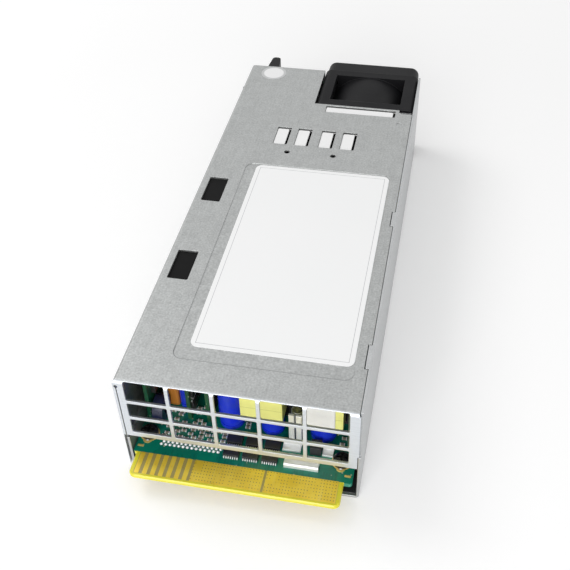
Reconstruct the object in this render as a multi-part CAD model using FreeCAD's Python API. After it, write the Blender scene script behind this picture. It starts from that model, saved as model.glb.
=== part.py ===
"""Hot swap server power supply: a 73.5 x 40 x 185 mm drawer that slides into a server bay.

Millimetres. +X is to the right seen from the connector end, +Y runs from the
connector end to the fan end, +Z is up. The origin is the middle of the underside.
"""
import FreeCAD, Part
import math
import os

Vector = FreeCAD.Vector

# ---- Driving dimensions ----------------------------------------------------------

# Case: a tray and a cover, both folded from sheet
case_length = 185.0
case_height = 40.0
sheet = 0.8
bend_inside = 0.5
seam_gap = 0.2
tray_lip_height = 13.5
hook_reach = 1.8
hook_gap = 0.3
hook_spans = ((17.6, 9.4), (83.9, 7.7))
lap_height = 20.4
lap_gap = 0.15

# Fan, inlet and the room round them: together they set the width of the case
fan_depth = 28.0
fan_wall_gap = 0.1
fan_notch_gap = 0.2
fan_overhang = 1.2
inlet_width = 30.0
inlet_height = 22.6
inlet_side_gap = 0.9
inlet_fan_gap = 0.9
inlet_rise = 1.6

# Air grille folded down from the cover
grille_columns = 5
grille_rows = 3
grille_bar = 1.1
grille_row_bar = 1.15
grille_opening_height = 6.25
grille_bottom = 14.9
grille_bottom_bar = 1.9
grille_left_margin = 2.1
grille_right_margin = 3.0
grille_top_margin = 0.3
grille_corner_radius = 0.5
corner_gap = 0.3
corner_relief_drop = 2.4
corner_relief_radius = 0.6
grille_edge_inset = 0.6

# Windows, holes and recess in the cover
film_window_length = 14.3
film_window_width = 7.0
film_window_inset = 3.0
film_window_starts = (45.4, 87.3)
sheet_window_width = 5.6
sheet_window_length = 11.9
sheet_window_slot_gap = 13.6
sheet_window_centres = (-12.8, -4.5, 4.9, 13.3)
window_corner = 0.5
drain_hole_radius = 1.1
drain_hole_gap = 4.9
drain_hole_spread = 8.9
slot_length = 28.4
slot_width = 4.8
slot_fan_gap = 1.1
slot_right_inset = 7.55
film_thickness = 0.3
film_margin = 2.0
film_rear_margin = 0.1
sheet_pad_gap = 0.3
sheet_pad_open_gap = 1.0
sheet_pad_drop = 0.25
recess_depth = 0.3
recess_margin = 0.5
recess_left_margin = 4.0
recess_front_margin = 5.5
recess_corner = 3.0
label_start = 17.5
label_window_gap = 14.7
label_left_inset = 18.45
label_right_inset = 5.15
label_corner = 2.4
label_thickness = 0.12
label_gap = 0.02
dimple_radius = 1.1
dimple_depth = 0.25
dimple_right_inset = 5.45
dimple_fan_gap = 10.4
sticker_radius = 5.4
sticker_left_inset = 10.75
sticker_rear_inset = 5.6
sticker_thickness = 0.1
notch_step_depth = 2.6
notch_step_width = 5.2

# Cover screws
cover_screw_places = (30.0, 120.0)
cover_screw_height = 10.4
cover_screw_radius = 1.5
cover_screw_head_radius = 2.6
cover_screw_head_depth = 1.0
cover_screw_length = 3.0

# Main board and its card edge
board_lift = 5.6
board_thickness = 1.6
board_shoulder = 0.3
board_side_gap = 0.3
board_right_gap = 1.4
board_corner = 1.0
board_fan_gap = 8.2
contact_pitch = 2.54
signal_count = 7
pad_pitches = 9
contact_gap = 0.75
contact_thickness = 0.1
contact_edge_margin = 1.1
contact_inset = 0.1
tongue_margin = 1.1
tongue_left_inset = 3.05
tongue_reach = 9.0
tongue_corner = 2.0
tongue_bevel = 0.4
insulator_thickness = 0.3
insulator_hole_gap = 0.6
standoff_width = 5.0
thread_radius = 1.25
screw_shank_radius = 1.2
screw_hole_gap = 0.25
board_screw_head_radius = 2.75
board_screw_head_height = 2.7
board_screw_chamfer = 0.6
board_screw_depth = 3.6
board_screw_side_inset = 5.2
board_screw_right_inset = 6.4
board_screw_front = 7.3
board_screw_rear = 6.5

# Row of parts at the connector end of the board
transistor_width = 4.9
transistor_length = 3.9
transistor_height = 1.6
transistor_pitch = 6.1
transistor_columns = 3
transistor_row_places = (2.6, 7.4)
transistor_left_inset = 30.4
bus_bar_thickness = 0.8
bus_bar_gap = 2.2
bus_bar_right_inset = 13.0
bus_bar_front = 2.1
bus_bar_length = 3.2
bus_bar_height = 1.8
bracket_width = 5.8
bracket_height = 15.0
low_bracket_width = 3.4
low_bracket_height = 2.6
bracket_fork_width = 4.0
bracket_fork_gap = 0.6
bracket_foot = 3.1
bracket_place = 8.2
bracket_row_gap = 0.6
bracket_right_inset = 12.8
bead_length = 3.6
bead_height = 3.4
bead_left_gap = 3.0
bead_right_gap = 0.4

# Upright boards
riser_thickness = 1.2
riser_top_gap = 4.2
riser_end_place = 49.0
control_board_inset = 3.4
control_board_start = 12.0
rectifier_board_insets = (15.75, 22.15)
rectifier_board_start = 15.0
rectifier_board_length = 33.0
sense_board_inset = 5.4
sense_board_start = 12.0
chip_width = 9.0
chip_height = 6.0
chip_thickness = 1.4
chip_count = 3
chip_pitch = 12.0
chip_end_gap = 1.0

# Wound parts and capacitors
tall_capacitors = ((29.95, 17.4, 4.1, 4.0), (13.3, 21.0, 1.6, 12.0))
short_capacitors = ((30.05, 17.2, 3.8), (13.75, 17.4, 4.2))
short_capacitor_height = 7.0
can_groove_lift = 1.4
can_groove_depth = 0.3
can_groove_height = 0.6
filter_capacitor_left_gap = 0.85
filter_capacitor_radius = 2.0
filter_capacitor_height = 12.0
filter_capacitor_place = 15.4
standby_transformer_inset = 6.3
standby_transformer_width = 5.1
standby_transformer_start = 20.0
standby_transformer_length = 16.0
standby_transformer_height = 23.0
small_toroid_radius = 4.5
small_toroid_hole = 2.0
small_toroid_width = 3.4
small_toroid_inset = 5.4
small_toroid_place = 15.0
wound_part_start = 12.0
wound_part_length = 36.0
core_wall = 1.2
core_inset = 10.0
core_gap = 0.1
winding_cap_gap = 0.6
wound_top_gap = 3.0
tape_corner = 1.0
transformer_left_inset = 33.05
transformer_right_inset = 24.55
choke_left_inset = 20.55
choke_right_inset = 5.7
resonant_choke_inset = 26.5
resonant_choke_gap = 2.2
resonant_choke_length = 12.0
resonant_choke_height = 20.0
part_gap = 4.0
heatsink_inset = 17.4
heatsink_thickness = 2.0
heatsink_start = 66.0
heatsink_fins = 6
heatsink_fin_reach = 7.0
heatsink_fin_thickness = 1.0
heatsink_top_gap = 2.4
package_thickness = 4.5
package_gap = 3.0
package_height = 18.0
package_lift = 5.0
package_count = 3
package_start_gap = 2.0
package_bridge_gap = 2.2
bridge_length = 9.0
bridge_thickness = 3.6
toroid_outer = 12.0
toroid_hole = 6.6
toroid_width = 11.0
winding_build = 1.3
winding_opening = 36.0
toroid_right_inset = 16.5
bulk_gap = 0.6
bulk_left_gap = 2.2
bulk_right_inset = 1.2
bulk_groove = 0.6
bulk_groove_place = 2.8
emi_place = 19.0
emi_outer = 9.5
emi_hole = 4.6
emi_width = 8.0
emi_left_inset = 16.5
rear_row_place = 30.5
x_capacitor_width = 17.5
x_capacitor_length = 8.5
x_capacitor_height = 17.0
rear_row_gap = 2.5
relay_width = 15.5
relay_length = 12.5
relay_height = 15.0
fuse_length = 20.0
fuse_radius = 2.6
fuse_glass_radius = 2.34
fuse_cap_length = 5.0
header_width = 7.5
header_length = 4.5
header_height = 6.0
header_wall = 1.0
header_screw_gap = 1.5

# Inside the fan
fan_barrel_inset = 0.4
fan_barrel_wall = 1.0
fan_flange = 4.0
fan_corner_radius = 2.6
fan_post_width = 5.4
fan_hole_inset = 4.0
fan_hole_radius = 1.75
fan_tip_gap = 0.6
hub_radius = 10.5
hub_wall = 1.2
hub_front_gap = 2.0
blade_count = 7
blade_thickness = 1.1
blade_root_turn = 30.0
blade_tip_turn = 42.0
blade_length = 15.0
blade_front_gap = 2.0
blade_root_depth = 2.5
shaft_radius = 1.0
shaft_gap = 0.03
press_gap = 0.01
bearing_radius = 3.0
bearing_length = 2.4
motor_plate_thickness = 2.2
motor_plate_gap = 0.6
tube_wall = 0.8
tube_length = 14.0
strut_count = 4
strut_width = 2.2
strut_turn = 45.0
stator_radius = 7.6
stator_length = 9.0
stator_slots = 4
stator_slot_width = 1.8
stator_yoke = 1.4
bulkhead_foot = 6.0
bulkhead_top_gap = 0.2
bulkhead_bore_inset = 1.2

# Bezel behind the fan
bezel_inset = 0.4
bezel_depth = 8.4
bezel_wall = 1.8
bezel_corner = 3.4
bezel_edge_round = 1.6
bezel_plate = 1.8
guard_ring_width = 1.3
guard_ring_count = 3
guard_inner_ring = 5.6
guard_spoke_width = 1.6
guard_opening_gap = 0.6
fan_screw_end = 0.4
fan_screw_radius = 1.4
fan_screw_head_radius = 2.3
fan_screw_head_gap = 0.2
fan_screw_head_height = 1.6

# AC inlet
inlet_flange = 2.0
inlet_corner = 2.0
inlet_body_lap = 1.0
inlet_body_width = 27.0
inlet_body_height = 19.6
inlet_body_depth = 22.0
inlet_cut_gap = 0.15
inlet_cavity_width = 24.2
inlet_cavity_height = 16.2
inlet_cavity_depth = 16.6
inlet_chamfer = 4.6
inlet_pin_width = 2.0
inlet_pin_height = 4.0
inlet_pin_recess = 4.9
inlet_pin_spread = 7.0
inlet_earth_rise = 2.0
inlet_pin_tail = 5.0

# Status light
led_radius = 1.5
led_flange_radius = 2.2
led_collar_depth = 1.1
led_length = 7.0
led_lens_height = 0.6
led_fan_gap = 6.0

# Release latch
latch_drop = 4.6
latch_inlet_gap = 3.6
latch_wall_gap = 1.4
latch_arm = 2.2
latch_pivot_place = 38.0
latch_hook_place = 17.0
latch_hook_length = 6.0
latch_hook_reach = 1.8
latch_eye_radius = 2.6
latch_pin_radius = 1.0
latch_pin_gap = 0.05
latch_ear = 0.8
latch_ear_gap = 0.2
latch_ear_reach = 3.2
latch_pin_head = 0.5
latch_tab_shift = 3.5
latch_jog_start = 10.0
latch_jog_end = 4.0
latch_tab_reach = 13.2
latch_tab_width = 3.4
latch_tab_base_width = 5.4
latch_tab_flat = 0.17
latch_tab_top_gap = 2.8
latch_tab_inlet_gap = 0.9
latch_slot_gap = 0.5
latch_hook_gap = 1.0
latch_swing = 6.0
spring_wire = 0.22
spring_radius = 1.6
spring_turns = 2.5
spring_steps_per_turn = 8
spring_room = 3.2
spring_leg = 3.6
spring_step = 5.0

# ---- Places that follow from them ------------------------------------------------

fan_size = case_height
case_width = (
    2 * sheet + inlet_side_gap + inlet_width + inlet_fan_gap + fan_size + fan_wall_gap
)
left = -case_width / 2
right = case_width / 2
front = -case_length / 2
rear = case_length / 2
bend_outside = bend_inside + sheet
top_inside = case_height - sheet
left_inside = left + sheet
right_inside = right - sheet
tray_left = left_inside + seam_gap / 2
cover_right = right_inside - seam_gap
cover_right_flange = right - grille_edge_inset
over = 1.0

board_top = board_lift + board_thickness
board_left = tray_left + sheet + board_side_gap
board_right = right_inside - board_right_gap
board_front = front - board_shoulder
tongue_left = left + tongue_left_inset
tongue_width = (signal_count + 2 * pad_pitches) * contact_pitch + 2 * tongue_margin
tongue_front = front - tongue_reach

fan_right = right_inside - fan_wall_gap
fan_left = fan_right - fan_size
fan_x = (fan_left + fan_right) / 2
fan_z = fan_size / 2
fan_rear = rear + fan_overhang
fan_front = fan_rear - fan_depth
hub_front = fan_front + hub_front_gap
hub_rear = fan_rear - motor_plate_thickness - motor_plate_gap
fan_hole_spread = fan_size / 2 - fan_hole_inset
fan_barrel_radius = fan_size / 2 - fan_barrel_inset
fan_bore_radius = fan_barrel_radius - fan_barrel_wall
bezel_half = fan_size / 2 - bezel_inset
guard_opening_radius = bezel_half - bezel_wall - guard_opening_gap
tube_outer = bearing_radius + shaft_gap + tube_wall
stator_inner = tube_outer + stator_yoke
board_rear = fan_front - board_fan_gap

slot_rear = fan_front - slot_fan_gap
sheet_window_rear = slot_rear - slot_width - sheet_window_slot_gap
sheet_window_front = sheet_window_rear - sheet_window_length
slot_right = right - slot_right_inset
slot_left = slot_right - slot_length
label_left = left + label_left_inset
label_right = right - label_right_inset
label_front = front + label_start
label_rear = sheet_window_front - label_window_gap
package_face = left + heatsink_inset + heatsink_thickness
bulk_right = right_inside - bulk_right_inset
bulk_left = package_face + package_thickness + bulk_left_gap
bulk_radius = (bulk_right - bulk_left - bulk_gap) / 4

inlet_left = left_inside + inlet_side_gap
inlet_x = inlet_left + inlet_width / 2
inlet_z = inlet_rise + inlet_height / 2
inlet_top = inlet_rise + inlet_height

latch_top = case_height - latch_drop
latch_bottom = inlet_top + latch_inlet_gap
pivot_x = left_inside + latch_wall_gap + latch_eye_radius
pivot_y = rear - latch_pivot_place
hook_y = rear - latch_hook_place
tab_x = pivot_x + latch_tab_shift
led_x = fan_left - led_fan_gap
led_z = (inlet_top + case_height) / 2


# ---- Shapes used by many pieces --------------------------------------------------

def block(x0, x1, y0, y1, z0, z1):
    """Box between two corners."""
    return Part.makeBox(x1 - x0, y1 - y0, z1 - z0, Vector(x0, y0, z0))


def rod(x, y, z, radius, length, axis):
    """Solid cylinder that starts at a point and runs along an axis."""
    return Part.makeCylinder(radius, length, Vector(x, y, z), axis)


def tube(x, y, z, outer, inner, length, axis):
    """Round tube that starts at a point and runs along an axis."""
    return rod(x, y, z, outer, length, axis).cut(rod(x, y, z, inner, length, axis))


def edge_near(shape, point):
    """Edge of a shape that passes closest to a point."""
    vertex = Part.Vertex(point)
    return min(shape.Edges, key=lambda edge: edge.distToShape(vertex)[0])


def rounded(shape, radius, points):
    """Shape with the edges at the given points rounded."""
    return shape.makeFillet(radius, [edge_near(shape, point) for point in points])


def rounded_plate(x0, x1, y0, y1, z0, z1, radius):
    """Flat plate with its four upright edges rounded."""
    middle = (z0 + z1) / 2
    corners = [Vector(x, y, middle) for x in (x0, x1) for y in (y0, y1)]
    return rounded(block(x0, x1, y0, y1, z0, z1), radius, corners)


def rounded_frame(x0, x1, y0, y1, z0, z1, radius):
    """Block whose four edges along Y are rounded."""
    middle = (y0 + y1) / 2
    corners = [Vector(x, middle, z) for x in (x0, x1) for z in (z0, z1)]
    return rounded(block(x0, x1, y0, y1, z0, z1), radius, corners)


def outline(points, direction):
    """Solid made by pushing a closed outline along a direction."""
    wire = Part.makePolygon([*points, points[0]])
    return Part.Face(wire).extrude(direction)


def hexagon(x, y, z, width, height):
    """Upright hexagonal bar, its width measured across the flats."""
    corner = width / math.sqrt(3)
    turns = [math.radians(60 * step) for step in range(6)]
    points = [Vector(x + corner * math.cos(a), y + corner * math.sin(a), z) for a in turns]
    return outline(points, Vector(0, 0, height))


def group(solids):
    """Separate solids of one kind kept in one node."""
    return Part.makeCompound(solids)


X_AXIS = Vector(1, 0, 0)
Y_AXIS = Vector(0, 1, 0)
Z_AXIS = Vector(0, 0, 1)


# ---- Case ------------------------------------------------------------------------

def seam_hooks(gap):
    """Blocks over the places where wall tabs hook into the cover's edge."""
    blocks = []
    for start, length in hook_spans:
        y0 = front + start
        inner = right - hook_reach - gap
        blocks.append(block(inner, right, y0 - gap, y0 + length + gap, top_inside, case_height))
    return blocks


def fan_corners():
    """Middle of each fan screw, as X and Z."""
    return [
        (fan_x + side * fan_hole_spread, fan_z + up * fan_hole_spread)
        for side in (-1, 1)
        for up in (-1, 1)
    ]


def standoff_centres():
    """Places of the board's standoffs, two at each end."""
    xs = (left + board_screw_side_inset, right - board_screw_right_inset)
    ys = (front + board_screw_front, board_rear - board_screw_rear)
    return [(x, y) for x in xs for y in ys]


def cover_screw_centres():
    """Places along Y of the screws in the left wall."""
    return [front + place for place in cover_screw_places]


def base_tray():
    """Floor, right wall, low left lip and rear wall, folded from one sheet."""
    tray = block(tray_left, right, front, rear, 0, case_height)
    middle_x = (tray_left + right) / 2
    folds = [
        Vector(tray_left, 0, 0),
        Vector(right, 0, 0),
        Vector(middle_x, rear, 0),
    ]
    tray = rounded(tray, bend_outside, folds)
    room = block(
        tray_left + sheet, right_inside, front - over, rear - sheet, sheet, case_height + over
    )
    room_folds = [
        Vector(tray_left + sheet, 0, sheet),
        Vector(right_inside, 0, sheet),
        Vector(middle_x, rear - sheet, sheet),
    ]
    tray = tray.cut(rounded(room, bend_inside, room_folds))
    lip_room = block(
        tray_left - over, tray_left + bend_outside, front - over, rear - bend_outside,
        tray_lip_height, case_height + over,
    )
    above_rear = block(
        tray_left - over, right_inside, rear - bend_outside, rear + over,
        top_inside - seam_gap, case_height + over,
    )
    fan_room = block(
        fan_left - fan_notch_gap, right_inside, fan_front - fan_notch_gap, rear + over,
        -over, case_height + over,
    )
    lap = block(
        right_inside - over, right + over, front - over, front + sheet + lap_gap,
        lap_height, case_height + over,
    )
    tray = tray.cut([lip_room, above_rear, fan_room, lap])
    tray = tray.fuse([hook.cut(block(right_inside, right, front, rear, 0, case_height))
                      for hook in seam_hooks(0)])
    cuts = [inlet_outline(inlet_cut_gap, rear - sheet - over, rear + over)]
    led_hole = led_radius + inlet_cut_gap
    cuts.append(rod(led_x, rear - sheet - over, led_z, led_hole, 2 * over + sheet, Y_AXIS))
    cuts.append(latch_rear_slot())
    for y in cover_screw_centres():
        cuts.append(cover_screw(y, screw_hole_gap))
    return tray.cut(cuts).removeSplitter()


def grille_openings():
    """Row by column blocks that open the front flange to the air."""
    first = cover_right_flange - grille_right_margin
    start = left_inside + corner_gap + grille_left_margin
    width = (first - start - (grille_columns - 1) * grille_bar) / grille_columns
    openings = []
    for column in range(grille_columns):
        x0 = start + column * (width + grille_bar)
        for row in range(grille_rows):
            z0 = grille_bottom + grille_bottom_bar
            z0 = z0 + row * (grille_opening_height + grille_row_bar)
            z1 = z0 + grille_opening_height
            if row == grille_rows - 1:
                z1 = case_height - grille_top_margin
            opening = block(x0, x0 + width, front - over, front + bend_outside, z0, z1)
            corners = [Vector(x, front, z) for x in (x0, x0 + width) for z in (z0, z1)]
            openings.append(rounded(opening, grille_corner_radius, corners))
    return openings


def sheet_openings():
    """Edges of the four windows and the slot over the white sheet: X0, X1, Y0, Y1."""
    spans = []
    for centre in sheet_window_centres:
        x0 = centre - sheet_window_width / 2
        spans.append((x0, x0 + sheet_window_width, sheet_window_front, sheet_window_rear))
    spans.append((slot_left, slot_right, slot_rear - slot_width, slot_rear))
    return spans


def cover_windows():
    """Blocks for every opening punched in the top of the cover."""
    z0 = top_inside - recess_depth - over
    z1 = case_height + over
    cuts = []
    for start in film_window_starts:
        x0 = left + film_window_inset
        y0 = front + start
        cuts.append(rounded_plate(
            x0, x0 + film_window_width, y0, y0 + film_window_length, z0, z1, window_corner
        ))
    for x0, x1, y0, y1 in sheet_openings():
        cuts.append(rounded_plate(x0, x1, y0, y1, z0, z1, window_corner))
    hole_y = sheet_window_front - drain_hole_gap
    for side in (-1, 1):
        cuts.append(rod(side * drain_hole_spread, hole_y, z0, drain_hole_radius, z1 - z0, Z_AXIS))
    return cuts


def recess_span():
    """Edges of the pressed recess that takes the label: X0, X1, Y0, Y1."""
    return (
        label_left - recess_left_margin,
        label_right + recess_margin,
        label_front - recess_front_margin,
        label_rear + recess_margin,
    )


def top_cover():
    """Top, left wall and front grille, folded from one sheet."""
    cover = block(left, cover_right, front, rear, 0, case_height)
    cover = rounded(cover, bend_outside, [Vector(left, 0, case_height), Vector(0, front, case_height)])
    room = block(left_inside, right + over, front + sheet, rear + over, -over, top_inside)
    room = rounded(room, bend_inside, [
        Vector(left_inside, 0, top_inside),
        Vector(0, front + sheet, top_inside),
    ])
    cover = cover.cut(room)
    flange_left = left_inside + corner_gap
    relief_x = left_inside + corner_gap / 2
    relief_z = case_height - corner_relief_drop
    outer = front - over
    inner = front + bend_outside
    cuts = [
        block(left_inside, flange_left, outer, inner, -over, relief_z),
        block(flange_left - over, right + over, outer, inner, -over, grille_bottom),
        rod(relief_x, outer, relief_z, corner_relief_radius, inner - outer, Y_AXIS),
        block(
            fan_left - fan_notch_gap, right + over, fan_front - fan_notch_gap, rear + over,
            top_inside - over, case_height + over,
        ),
        block(
            cover_right - notch_step_width, right + over,
            fan_front - fan_notch_gap - notch_step_depth, rear + over,
            top_inside - over, case_height + over,
        ),
    ]
    lap_edge = block(
        cover_right - over, cover_right_flange, front, front + sheet,
        lap_height + lap_gap, case_height - bend_outside,
    )
    cover = cover.fuse(lap_edge)
    x0, x1, y0, y1 = recess_span()
    pad = rounded_plate(x0, x1, y0, y1, top_inside - recess_depth, top_inside, recess_corner)
    cover = cover.fuse(pad)
    cuts.append(rounded_plate(
        x0, x1, y0, y1, case_height - recess_depth, case_height + over, recess_corner
    ))
    cuts += grille_openings() + cover_windows() + seam_hooks(hook_gap)
    cuts.append(rod(
        right - dimple_right_inset, fan_front - dimple_fan_gap, case_height - dimple_depth,
        dimple_radius, over, Z_AXIS,
    ))
    for y in cover_screw_centres():
        cuts.append(cover_screw(y, screw_hole_gap))
    cuts.append(latch_side_slot())
    return cover.cut(cuts).removeSplitter()


def cover_screw(y, gap):
    """Countersunk screw through the left wall, grown by a gap for its hole."""
    z = cover_screw_height
    head = Part.makeCone(
        cover_screw_head_radius + gap, cover_screw_radius + gap, cover_screw_head_depth,
        Vector(left, y, z), X_AXIS,
    )
    return head.fuse(rod(left, y, z, cover_screw_radius + gap, cover_screw_length, X_AXIS))


def cover_screws():
    """Screws that join the cover's left wall to the tray's lip."""
    return group([cover_screw(y, 0) for y in cover_screw_centres()])


def rating_label():
    """Bare label stuck in the cover's recess."""
    z0 = case_height - recess_depth + label_gap
    return rounded_plate(
        label_left, label_right, label_front, label_rear, z0, z0 + label_thickness, label_corner
    )


def seal_sticker():
    """Round bare sticker near the latch."""
    x = left + sticker_left_inset
    y = rear - sticker_rear_inset
    return rod(x, y, case_height, sticker_radius, sticker_thickness, Z_AXIS)


def window_film():
    """Black film under the two windows on the left."""
    x0 = left_inside + bend_inside
    x1 = left + film_window_inset + film_window_width + film_margin
    y0 = front + min(film_window_starts) - film_margin
    y1 = front + max(film_window_starts) + film_window_length + film_margin
    return block(x0, x1, y0, y1, top_inside - film_thickness, top_inside)


def window_sheet():
    """White insulating sheet with a pad pressed up into each opening over it."""
    x0 = min(sheet_window_centres) - sheet_window_width / 2 - film_margin
    x1 = slot_right + film_margin
    y0 = sheet_window_front - film_margin
    y1 = slot_rear + film_rear_margin
    sheet_foot = top_inside - film_thickness
    pads = []
    gaps = []
    for start, end, near, far in sheet_openings():
        pad_right = end - sheet_pad_open_gap
        pad_far = far - sheet_pad_open_gap
        pads.append(rounded_plate(
            start + sheet_pad_gap, pad_right, near + sheet_pad_gap, pad_far,
            sheet_foot, case_height - sheet_pad_drop, window_corner,
        ))
        gaps.append(block(start, end, pad_far, far, sheet_foot - over, case_height))
        gaps.append(block(pad_right, end, near, far, sheet_foot - over, case_height))
    plate = block(x0, x1, y0, y1, sheet_foot, top_inside)
    return plate.fuse(pads).cut(gaps).removeSplitter()


# ---- Main board ------------------------------------------------------------------

def board_screw(x, y, gap):
    """Shank of a screw down through the board, grown by a gap for its hole."""
    foot = board_top - board_screw_depth
    return rod(x, y, foot, screw_shank_radius + gap, board_screw_depth, Z_AXIS)


def main_board():
    """Board with the card edge reaching out under the grille."""
    body = block(board_left, board_right, board_front, board_rear, board_lift, board_top)
    middle = (board_lift + board_top) / 2
    body = rounded(body, board_corner, [Vector(x, board_front, middle) for x in (board_left, board_right)])
    tongue_right = tongue_left + tongue_width
    tongue = block(tongue_left, tongue_right, tongue_front, board_front + over, board_lift, board_top)
    tongue = rounded(tongue, tongue_corner, [
        Vector(tongue_left, tongue_front, middle),
        Vector(tongue_right, tongue_front, middle),
    ])
    edges = [
        edge_near(tongue, Vector(tongue_left + tongue_width / 2, tongue_front, z))
        for z in (board_lift, board_top)
    ]
    tongue = tongue.makeChamfer(tongue_bevel, edges)
    board = body.fuse(tongue).removeSplitter()
    holes = [board_screw(x, y, screw_hole_gap) for x, y in standoff_centres()]
    return board.cut(holes)


def contact_row(first, count, span, reach):
    """Contacts on both faces of the card edge, each a number of pitches wide."""
    contacts = []
    for index in range(count):
        x0 = tongue_left + tongue_margin + (first + index * span) * contact_pitch + contact_gap / 2
        x1 = x0 + span * contact_pitch - contact_gap
        for z0 in (board_lift - contact_thickness, board_top):
            contacts.append(block(
                x0, x1, tongue_front + contact_edge_margin, reach, z0, z0 + contact_thickness
            ))
    return group(contacts)


def signal_fingers():
    """Narrow gold contacts at the left of the card edge."""
    return contact_row(0, signal_count, 1, front - contact_inset)


def ground_pads():
    """Wide gold contacts beside the signal fingers, top and underside."""
    return contact_row(signal_count, 1, pad_pitches, front - contact_inset)


def power_pads():
    """Wide gold contacts at the right of the card edge, top and underside."""
    return contact_row(signal_count + pad_pitches, 1, pad_pitches, front - contact_inset)


def standoffs():
    """Hexagonal posts that carry the board above the tray."""
    posts = []
    for x, y in standoff_centres():
        post = hexagon(x, y, sheet, standoff_width, board_lift - sheet)
        posts.append(post.cut(rod(x, y, sheet + over, thread_radius, board_lift, Z_AXIS)))
    return group(posts)


def board_screws():
    """Pan head screws that hold the board to its standoffs."""
    screws = []
    head_top = board_top + board_screw_head_height
    for x, y in standoff_centres():
        head = rod(x, y, board_top, board_screw_head_radius, board_screw_head_height, Z_AXIS)
        rim = edge_near(head, Vector(x + board_screw_head_radius, y, head_top))
        head = head.makeChamfer(board_screw_chamfer, [rim])
        screws.append(head.fuse(board_screw(x, y, 0)))
    return group(screws)


def base_insulator():
    """Insulating sheet on the tray's floor under the board."""
    plate = block(
        tray_left + bend_outside, right_inside - bend_inside, front + over,
        board_rear, sheet, sheet + insulator_thickness,
    )
    holes = [
        rod(x, y, 0, standoff_width / math.sqrt(3) + insulator_hole_gap, case_height, Z_AXIS)
        for x, y in standoff_centres()
    ]
    return plate.cut(holes)


# ---- Parts at the connector end of the board -------------------------------------

def transistor_row_end():
    """X of the right side of the rows of small transistors."""
    first = left + transistor_left_inset
    return first + (transistor_columns - 1) * transistor_pitch + transistor_width


def output_transistors():
    """Two rows of flat transistors behind the card edge."""
    solids = []
    for place in transistor_row_places:
        for column in range(transistor_columns):
            x0 = left + transistor_left_inset + column * transistor_pitch
            y0 = front + place
            solids.append(block(
                x0, x0 + transistor_width, y0, y0 + transistor_length,
                board_top, board_top + transistor_height,
            ))
    return group(solids)


def bracket_starts():
    """X where each bracket starts: first the forked one, then the low one."""
    return (transistor_row_end() + bracket_row_gap, right - bracket_right_inset)


def bracket(start, width, height):
    """Angle bracket: a foot soldered to the board and an upright along its rear edge."""
    y0 = front + bracket_place
    y1 = y0 + bracket_foot
    foot = block(start, start + width, y0, y1, board_top, board_top + bus_bar_thickness)
    upright = block(
        start, start + width, y1 - bus_bar_thickness, y1, board_top, board_top + height
    )
    return foot.fuse(upright).removeSplitter()


def output_bus_bars():
    """Bridge bar by the card edge, a tall forked bracket and a low bracket behind it."""
    x0 = transistor_row_end() + bus_bar_gap
    x1 = right - bus_bar_right_inset
    y0 = front + bus_bar_front
    y1 = y0 + bus_bar_length
    top = board_top + bus_bar_height
    bridge = block(x0, x1, y0, y1, board_top, top)
    bridge = rounded(bridge, bus_bar_thickness, [Vector((x0 + x1) / 2, y, top) for y in (y0, y1)])
    bridge = bridge.cut(block(
        x0 - over, x1 + over, y0 + bus_bar_thickness, y1 - bus_bar_thickness,
        board_top - over, top - bus_bar_thickness,
    ))
    first, second = bracket_starts()
    fork_right = first + bracket_width
    fork_left = fork_right - bracket_fork_width
    fork_x = (fork_left + fork_right) / 2
    shoulder = board_top + low_bracket_height
    tip = board_top + bracket_height + over
    cuts = [
        block(first - over, fork_left, front, front + bracket_place + bracket_foot + over, shoulder, tip),
        block(
            fork_x - bracket_fork_gap / 2, fork_x + bracket_fork_gap / 2,
            front, front + bracket_place + bracket_foot + over, shoulder, tip,
        ),
    ]
    forked = bracket(first, bracket_width, bracket_height).cut(cuts)
    return group([bridge, forked, bracket(second, low_bracket_width, low_bracket_height)])


def ferrite_bead():
    """Flat ferrite block between the two brackets."""
    first, second = bracket_starts()
    x0 = first + bracket_width + bead_left_gap
    x1 = second - bead_right_gap
    y0 = front + bracket_place
    return block(x0, x1, y0, y0 + bead_length, board_top, board_top + bead_height)


# ---- Upright boards --------------------------------------------------------------

def riser(x0, start, end):
    """Upright board standing on the main board."""
    return block(x0, x0 + riser_thickness, start, end, board_top, top_inside - riser_top_gap)


def control_board():
    """Upright control board on the left."""
    return riser(left + control_board_inset, front + control_board_start, front + riser_end_place)


def control_chips():
    """Flat chips on the right face of the control board."""
    x0 = left + control_board_inset + riser_thickness
    middle = (board_top + top_inside - riser_top_gap) / 2
    chips = []
    for index in range(chip_count):
        y0 = front + riser_end_place - chip_end_gap - chip_width - index * chip_pitch
        chips.append(block(
            x0, x0 + chip_thickness, y0, y0 + chip_width,
            middle - chip_height / 2, middle + chip_height / 2,
        ))
    return group(chips)


def rectifier_boards():
    """Two upright boards beside the main transformer."""
    start = front + rectifier_board_start
    return group([
        riser(left + inset, start, start + rectifier_board_length) for inset in rectifier_board_insets
    ])


def sense_board():
    """Upright board by the right wall."""
    return riser(right - sense_board_inset, front + sense_board_start, front + riser_end_place)


# ---- Wound parts and capacitors --------------------------------------------------

def can(x, y, radius, height):
    """Round capacitor standing on the board, with a rolled groove near its foot."""
    body = rod(x, y, board_top, radius, height, Z_AXIS)
    groove_z = board_top + can_groove_lift
    groove = tube(x, y, groove_z, radius + over, radius - can_groove_depth, can_groove_height, Z_AXIS)
    return body.cut(groove)


def output_capacitors():
    """Blue capacitors across the output."""
    cans = [
        can(left + inset, front + place, radius, top_inside - top_gap - board_top)
        for inset, place, radius, top_gap in tall_capacitors
    ]
    cans += [
        can(right - inset, front + place, radius, short_capacitor_height)
        for inset, place, radius in short_capacitors
    ]
    return group(cans)


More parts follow.
